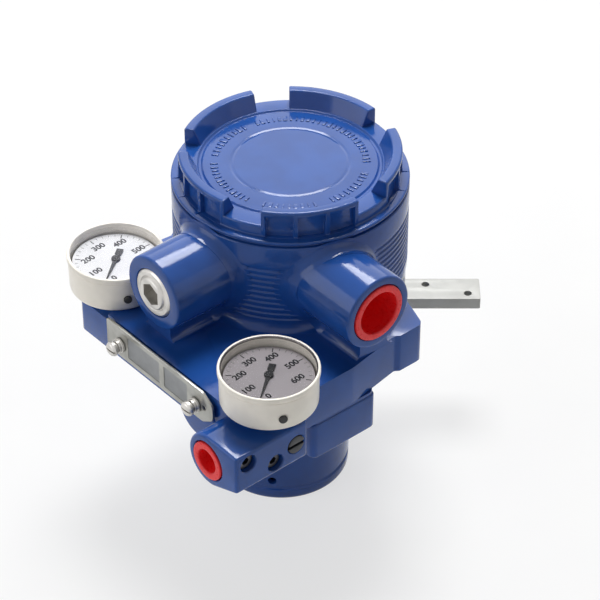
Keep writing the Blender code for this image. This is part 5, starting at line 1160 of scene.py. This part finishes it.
    def vent(self, centre: Vector, top: float) -> None:
        """Makes the black vent plug on the case's side."""
        profile = rounded([Corner(0, 0), Corner(1.5, 0), Corner(1.5, 2.9), Corner(1.75, 2.9, 0.1),
                           Corner(1.65, 3.6, 0.4), Corner(0, 3.6)], steps=4)
        plug = turned(self.side + "_gauge_vent_plug_visual", profile, SMALL)
        spoke = polar(17.1, self.vent_angle)
        plug.data.transform(Matrix.Translation((centre.x + spoke.x, centre.y + spoke.y, top - 10.5))
                            @ Matrix.Rotation(math.radians(self.vent_angle), 4, "Z")
                            @ Matrix.Rotation(math.radians(90), 4, "Y"))
        Finishes.dress(plug, "rubber")
        settle(plug, "housing", self.side + "_gauge_vent_plug")

    def window(self, centre: Vector) -> None:
        """Makes the clear window."""
        low, high = node_box(self.side + "_gauge_window")
        pane = turned(self.side + "_gauge_window_visual", rounded([
            Corner(0, low.z), Corner(18.5, low.z, 0.2), Corner(18.5, high.z, 0.3), Corner(0, high.z)]),
            ROUND + 32, (centre.x, centre.y, 0))
        Finishes.dress(pane, "pane")
        settle(pane, "housing", self.side + "_gauge_window")

    def build(self) -> None:
        """Models the gauge."""
        low, high = node_box(self.side + "_gauge_case")
        middle = node_centre(self.side + "_gauge_case")
        centre = Vector((middle.x, middle.y, 0))
        dial_top = node_box(self.side + "_gauge_dial")[1].z
        self.case(centre, low.z, high.z)
        self.dial(centre, dial_top)
        self.pointer(centre, dial_top + 0.4)
        self.vent(centre, high.z)
        self.window(centre)
        for part, finish in (("movement", "brass"), ("stem", "brass"), ("tube", "copper")):
            Finishes.dress_node(f"{self.side}_gauge_{part}", finish)


@dataclass
class NamePlate:
    """The bare plate in front of the slab, its two inset panels and its screws."""

    left: float = -17.0
    right: float = 51.5
    height: float = 15.0
    thickness: float = 1.0
    screws: tuple[float, ...] = (-8.0, 41.0)
    panels: tuple[tuple[float, float], ...] = ((-3.2, 17.5), (20.5, 35.4))

    def build(self) -> None:
        """Models the plate, the panels and the screws."""
        low, high = node_box("name_plate")
        back = high.y
        radius = self.height / 2
        outline = rounded([Corner(self.left, low.z, 1.0), Corner(self.right - radius + 1, low.z, 3.0),
                           Corner(self.right, low.z + radius - 3.4, 3.5), Corner(self.right, low.z + radius + 3.4, 3.5),
                           Corner(self.right - radius + 1, high.z, 3.0), Corner(self.left, high.z, 1.0)], True, 5)
        plate = raised("name_plate_visual", outline, self.thickness, (0, back, 0), Axis.FRONT)
        middle = node_centre("name_plate_screw_1").z
        for x, size in ((self.screws[0], 2.3), (self.screws[1], 2.3), (46.0, 1.15)):
            z = middle if size > 2 else low.z + radius
            cut_by(plate, turned("hole", [(0, -2), (size, -2), (size, 3), (0, 3)], SMALL, (x, back, z), Axis.FRONT))
        for start, end in self.panels:
            inset = rounded([Corner(start, low.z + 2.2, 0.5), Corner(end, low.z + 2.2, 0.5),
                             Corner(end, high.z - 2.2, 0.5), Corner(start, high.z - 2.2, 0.5)], True, 3)
            cut_by(plate, raised("inset", inset, 2, (0, low.y + 0.3, 0), Axis.FRONT))
        eased(plate, 0.12, 2, 50)
        Finishes.dress(plate, "plate")
        plate.data.materials.append(Finishes.get("panel"))
        for face in plate.data.polygons:
            if face.normal.y < -0.9 and abs(face.center.y - low.y - 0.3) < 0.1:
                face.material_index = 1
        settle(plate, "housing", "name_plate")
        for number, x in enumerate(self.screws, 1):
            self.screw(number, x, middle)

    def screw(self, number: int, x: float, z: float) -> None:
        """Models one round-headed screw with its washers and slot."""
        low, high = node_box(f"name_plate_screw_{number}")
        long = high.y - low.y
        profile = rounded([Corner(0, -long), Corner(1.9, -long), Corner(1.9, -3.0), Corner(2.3, -3.0),
                           Corner(2.3, -2.5, 0.1), Corner(3.2, -2.4, 0.2), Corner(3.2, -1.3, 0.4),
                           Corner(2.6, -0.35, 0.5), Corner(0, 0)], steps=4)
        body = turned("screw", profile, SMALL, (x, low.y, z), Axis.FRONT)
        face = -81.6 - 1.4 - 1.0 - low.y - 0.3
        washers = [turned("washer", rounded([Corner(1.95, -face), Corner(rad, -face), Corner(rad, -face + thick, 0.2),
                                             Corner(1.95, -face + thick)], closed=True), SMALL,
                          (x, low.y, z), Axis.FRONT, closed=True)
                   for rad, thick in ((3.2, 1.0), (2.9, 2.2))]
        cut_by(body, raised("slot", [(-4, -0.4), (4, -0.4), (4, 0.4), (-4, 0.4)], 3,
                            (x, low.y + 1.1, z), Axis.FRONT))
        screw = fused(f"name_plate_screw_{number}_visual", [body] + washers)
        Finishes.dress(screw, "zinc")
        settle(screw, "housing", f"name_plate_screw_{number}")


@dataclass
class RelayUnit:
    """The relay block, its gasket and the round cup below."""

    centre: Point = (12.5, -16.0)
    radius: float = 29.4
    wall: float = 3.2
    disc: float = 33.0
    vent_angle: float = -48.0
    ear: float = 10.92
    lobe_back: float = -15.0

    def plan(self, inset: float = 0.0) -> list[Point]:
        """Returns the rounded plan of the block's disc and its two lobes, drawn in by an inset."""
        low, high = node_box("relay_block")
        x, y = self.centre
        disc = self.disc - inset
        ear = self.ear - inset
        reach = math.degrees(math.asin((1.0 - inset) / disc))
        leave = math.degrees(math.asin(ear / disc))
        chain = [Corner(high.x - inset, low.y + inset, 3.0), Corner(high.x - inset, self.lobe_back - inset, 3.0)]
        chain += [Corner(u, v) for u, v in arc((x, y), disc, reach, 180 - leave, 44)]
        chain += [Corner(low.x + inset, y + ear, 3.0), Corner(low.x + inset, y - ear, 3.0)]
        chain += [Corner(u, v) for u, v in arc((x, y), disc, 180 + leave, 270, 24)]
        return rounded(chain, True, 5)

    def gasket(self) -> None:
        """Models the painted gasket between the block and the slab."""
        low, high = node_box("relay_gasket")
        spare = 0.25
        sheet = raised("relay_gasket_visual", self.plan(0.5), high.z - low.z + 2 * spare, (0, 0, low.z - spare))
        for number in range(1, 5):
            place = node_centre(f"relay_block_screw_{number}")
            cut_by(sheet, turned("hole", [(0, -2), (2.7, -2), (2.7, 6), (0, 6)], SMALL,
                                 (place.x, place.y, low.z - 1)))
        Finishes.dress(sheet, "enamel")
        settle(sheet, "housing", "relay_gasket")

    def block(self) -> None:
        """Models the relay block and the spigot that the cup screws onto."""
        low, high = node_box("relay_block")
        x, y = self.centre
        bottom = 56.0
        block = eased(raised("relay_block_visual", self.plan(), high.z - bottom, (0, 0, bottom)), 1.0, 4, 40)
        spigot = self.radius - self.wall - 0.3
        neck = turned("spigot", rounded([Corner(0, low.z), Corner(spigot, low.z, 1.0), Corner(spigot, bottom + 1.2),
                                         Corner(0, bottom + 1.2)]), ROUND + 32, (x, y, 0))
        for number in range(1, 5):
            place = node_centre(f"relay_block_screw_{number}")
            cut_by(block, turned("counterbore", rounded([
                Corner(0, -2), Corner(4.9, -2), Corner(4.9, 0), Corner(4.5, 0.4), Corner(4.5, 4.3),
                Corner(2.8, 4.3), Corner(2.8, 30), Corner(0, 30)]), SMALL, (place.x, place.y, bottom)))
        block = fused("relay_block_visual", [block, neck])
        Finishes.dress(block, "enamel")
        settle(block, "housing", "relay_block", smooth=38)

    def cup(self) -> None:
        """Turns the cup with its wrench rim and vent hole."""
        low, high = node_box("relay_cover")
        x, y = self.centre
        inner = self.radius - self.wall
        profile = rounded([
            Corner(0, 0.9), Corner(self.radius - 8, 0.9, 0.4), Corner(self.radius - 9, 0, 0.4),
            Corner(self.radius - 0.4, 0, 3.2), Corner(self.radius - 0.4, 5.6, 0.6), Corner(self.radius - 1.1, 6.2, 0.5),
            Corner(self.radius - 1.1, 7.4, 0.5), Corner(self.radius - 0.3, 8.0, 0.6),
            Corner(self.radius, high.z, 0.8), Corner(inner, high.z, 0.4), Corner(inner, 3.2, 1.5),
            Corner(0, 3.2)], steps=5)
        cup = turned("relay_cover_visual", profile, FINE, (x, y, 0))
        vent = turned("vent", [(0, 0), (1.9, 0), (1.9, 12), (0, 12)], SMALL)
        spoke = polar(self.radius - 6, self.vent_angle)
        vent.data.transform(Matrix.Translation((x + spoke.x, y + spoke.y, 5.2 + 6))
                            @ Matrix.Rotation(math.radians(self.vent_angle), 4, "Z")
                            @ Matrix.Rotation(math.radians(90), 4, "Y"))
        cut_by(cup, vent)
        Finishes.dress(cup, "enamel")
        settle(cup, "housing", "relay_cover", smooth=38)

    def build(self) -> None:
        """Models the relay unit and dresses what it holds."""
        self.block()
        self.gasket()
        self.cup()
        for node, finish in (("relay_cover_seal", "rubber"),
                             ("pilot_relay", "aluminium"), ("relay_spool", "steel"), ("relay_spring", "steel")):
            Finishes.dress_node(node, finish)
        for number in range(1, 5):
            Finishes.dress_node(f"relay_block_screw_{number}", "zinc")


@dataclass
class Feedback:
    """The feedback lever, its nut and shaft, the shaft plate and the sensor."""

    length: float = 84.0
    width: float = 14.4
    hub: float = 10.0
    rest: float = 49.5
    hole: float = 1.7

    def lever(self) -> None:
        """Models the flat lever with its rounded hub and drilled end."""
        low, high = node_box("feedback_lever")
        shaft = node_centre("lever_nut")
        half = self.width / 2
        meet = math.degrees(math.asin(half / self.hub))
        outline = rounded([Corner(self.length, -half, 0.8), Corner(self.length, half, 0.8)]
                          + [Corner(u, v) for u, v in arc((0, 0), self.hub, meet, 360 - meet, 48)], True, 4)
        lever = raised("feedback_lever_visual", outline, high.z - low.z)
        for x, y, radius in ((0, 0, 3.3), (self.length - 5.4, -3.2, self.hole),
                             (self.length - 5.4 - 18.3, 3.2, self.hole)):
            cut_by(lever, turned("hole", [(0, -2), (radius, -2), (radius, 9), (0, 9)], SMALL, (x, y, 0)))
        eased(lever, 0.35, 3, 50)
        lever.data.transform(Matrix.Translation((shaft.x, shaft.y, low.z))
                             @ Matrix.Rotation(math.radians(self.rest), 4, "Z"))
        Finishes.dress(lever, "lever")
        settle(lever, "lever", "feedback_lever")

    def nut(self) -> None:
        """Models the chamfered clamp nut."""
        low, high = node_box("lever_nut")
        centre = node_centre("lever_nut")
        tall = high.z - low.z
        nut = raised("lever_nut_visual", hexagon(6.5), tall, (centre.x, centre.y, low.z))
        dome = turned("dome", [(5.5, -1), (8, -1), (8, tall + 1), (5.5, tall + 1), (5.5, tall + 0.2), (6.6, tall - 0.6),
                               (6.6, 0.6), (5.5, -0.2)], ROUND, (centre.x, centre.y, low.z), closed=True)
        cut_by(nut, dome)
        cut_by(nut, turned("bore", [(0, -1), (3.3, -1), (3.3, 6), (0, 6)], SMALL, (centre.x, centre.y, low.z)))
        Finishes.dress(nut, "zinc")
        settle(nut, "lever", "lever_nut")

    def build(self) -> None:
        """Models the lever and nut and dresses the rest."""
        self.lever()
        self.nut()
        for node, finish in (("feedback_shaft", "steel"), ("shaft_bush", "brass"), ("shaft_plate", "enamel"),
                             ("sensor_sector", "brass"), ("sensor_pinion", "brass"), ("angle_sensor", "resin"),
                             ("shaft_plate_screw_1", "zinc"), ("shaft_plate_screw_2", "zinc")):
            Finishes.dress_node(node, finish)


class Interior:
    """What the cover and the slab close in, shown by the CAD's own shapes."""

    FINISHES = {"electronics_module": "resin", "circuit_board": "board", "terminal_block": "resin",
                "terminal_screw_1": "brass", "terminal_screw_2": "brass", "terminal_screw_3": "brass",
                "module_screw_1": "zinc", "module_screw_2": "zinc", "nozzle_base": "aluminium",
                "torque_coil": "copper", "flapper": "steel"}

    def build(self) -> None:
        """Dresses every inner node."""
        for node, finish in self.FINISHES.items():
            Finishes.dress_node(node, finish)


@dataclass
class Studio:
    """Floor, lamps, surroundings and the photograph's camera."""

    azimuth: float = 49.5
    elevation: float = 38.2
    target: tuple[float, float, float] = (2.577, 3.017, 70.56)
    distance: float = 1106.1
    lens: float = 156.0
    whiteness: float = 0.66

    def floor(self) -> None:
        """Lays a pale floor that the camera sees as white paper with a soft shadow."""
        deselect_all()
        bpy.ops.mesh.primitive_plane_add(size=8, location=(0, 0, -0.0002))
        floor = bpy.context.active_object
        floor.name = "studio_floor"
        shader = Shader("studio paper")
        tone = shader.noise(60.0, 2.0).ramp(0.3, 0.7)
        shader.set(base_color=shader.mix(tone, (0.74, 0.74, 0.74), (0.77, 0.77, 0.76)), roughness=0.95,
                   specular_ior_level=0.0)
        paper = shader.node("ShaderNodeEmission", inputs={"Color": (1.0, 1.0, 1.0), "Strength": 1.0})
        rays = [shader.node("ShaderNodeLightPath", output=f"Is {kind} Ray")
                for kind in ("Camera", "Glossy", "Transmission")]
        seen = (rays[0] + rays[1] + rays[2]).clamped() * self.whiteness
        lit = Socket(shader, shader.surface.outputs[0])
        mixed = shader.node("ShaderNodeMixShader", inputs={0: seen, 1: lit, 2: paper})
        shader.tree.links.new(mixed.link, shader.tree.nodes["Material Output"].inputs[0])
        floor.data.materials.append(shader.material)

    def lamp(self, name: str, place: Sequence[float], aim: Sequence[float], size: Sequence[float],
             power: float) -> bpy.types.Object:
        """Hangs one rectangular lamp; places and sizes are in metres, power in watts."""
        light = bpy.data.lights.new(name, "AREA")
        light.shape = "RECTANGLE"
        light.size, light.size_y = size
        light.energy = power
        lamp = bpy.data.objects.new(name, light)
        look = Vector(aim) - Vector(place)
        lamp.matrix_world = (Matrix.Translation(place)
                             @ look.to_track_quat("-Z", "Y").to_matrix().to_4x4())
        bpy.context.scene.collection.objects.link(lamp)
        return lamp

    def surroundings(self) -> None:
        """Makes the white surroundings, dimmer where they only light the piece."""
        world = bpy.data.worlds.new("studio")
        world.use_nodes = True
        tree = world.node_tree
        tree.nodes.clear()
        path = tree.nodes.new("ShaderNodeLightPath")
        shades = []
        for colour, power in (((1.0, 1.0, 1.0, 1), 1.0), ((0.96, 0.98, 1.0, 1), 0.15)):
            shade = tree.nodes.new("ShaderNodeBackground")
            shade.inputs["Color"].default_value = colour
            shade.inputs["Strength"].default_value = power
            shades.append(shade)
        seen = path.outputs["Is Camera Ray"]
        for name in ("Is Glossy Ray", "Is Transmission Ray"):
            either = tree.nodes.new("ShaderNodeMath")
            either.operation = "MAXIMUM"
            tree.links.new(seen, either.inputs[0])
            tree.links.new(path.outputs[name], either.inputs[1])
            seen = either.outputs[0]
        mixed = tree.nodes.new("ShaderNodeMixShader")
        tree.links.new(seen, mixed.inputs[0])
        tree.links.new(shades[1].outputs[0], mixed.inputs[1])
        tree.links.new(shades[0].outputs[0], mixed.inputs[2])
        out = tree.nodes.new("ShaderNodeOutputWorld")
        tree.links.new(mixed.outputs[0], out.inputs[0])
        bpy.context.scene.world = world
        bpy.context.scene.view_settings.view_transform = "Standard"

    def camera(self) -> None:
        """Places the camera of the photograph."""
        turn = math.radians(self.azimuth)
        rise = math.radians(self.elevation)
        back = Vector((math.sin(turn) * math.cos(rise), -math.cos(turn) * math.cos(rise), math.sin(rise)))
        lens = bpy.data.cameras.new("camera")
        lens.lens = self.lens
        lens.sensor_width = 36.0
        lens.clip_start = 0.01
        camera = bpy.data.objects.new("camera", lens)
        place = (Vector(self.target) + back * self.distance) * MM
        camera.matrix_world = Matrix.Translation(place) @ back.to_track_quat("Z", "Y").to_matrix().to_4x4()
        bpy.context.scene.collection.objects.link(camera)
        bpy.context.scene.camera = camera

    def build(self) -> None:
        """Sets the studio up."""
        self.floor()
        self.surroundings()
        self.lamp("back", (-1.25, 1.05, 1.35), (0, 0, 0.1), (1.9, 1.5), 17.0)
        self.lamp("key", (-0.6, 0.55, 1.85), (0, 0, 0.1), (0.8, 0.8), 37.0)
        self.lamp("side", (1.7, 0.3, 0.7), (0, 0, 0.08), (1.2, 1.2), 2.0)
        self.lamp("front", (-0.6, -1.7, 0.8), (0, 0, 0.08), (1.4, 1.2), 10.5)
        self.camera()


def main() -> None:
    """Builds every sub-assembly in order and reports its pieces."""
    logging.basicConfig(level=logging.INFO, format="%(message)s")
    # The right gauge takes the painted-shade copy of the white dial paper.
    right = Gauge("right", paper="shaded dial", bezel="bezel", ink="print", hand="pointer")
    for part in (Casting(), Cover(), Stoppers(), Gauge("left"), right, NamePlate(), RelayUnit(), Feedback(),
                 Interior(), Studio()):
        part.build()
        LOG.info("built %s", type(part).__name__)


if __name__ == "__main__":
    main()
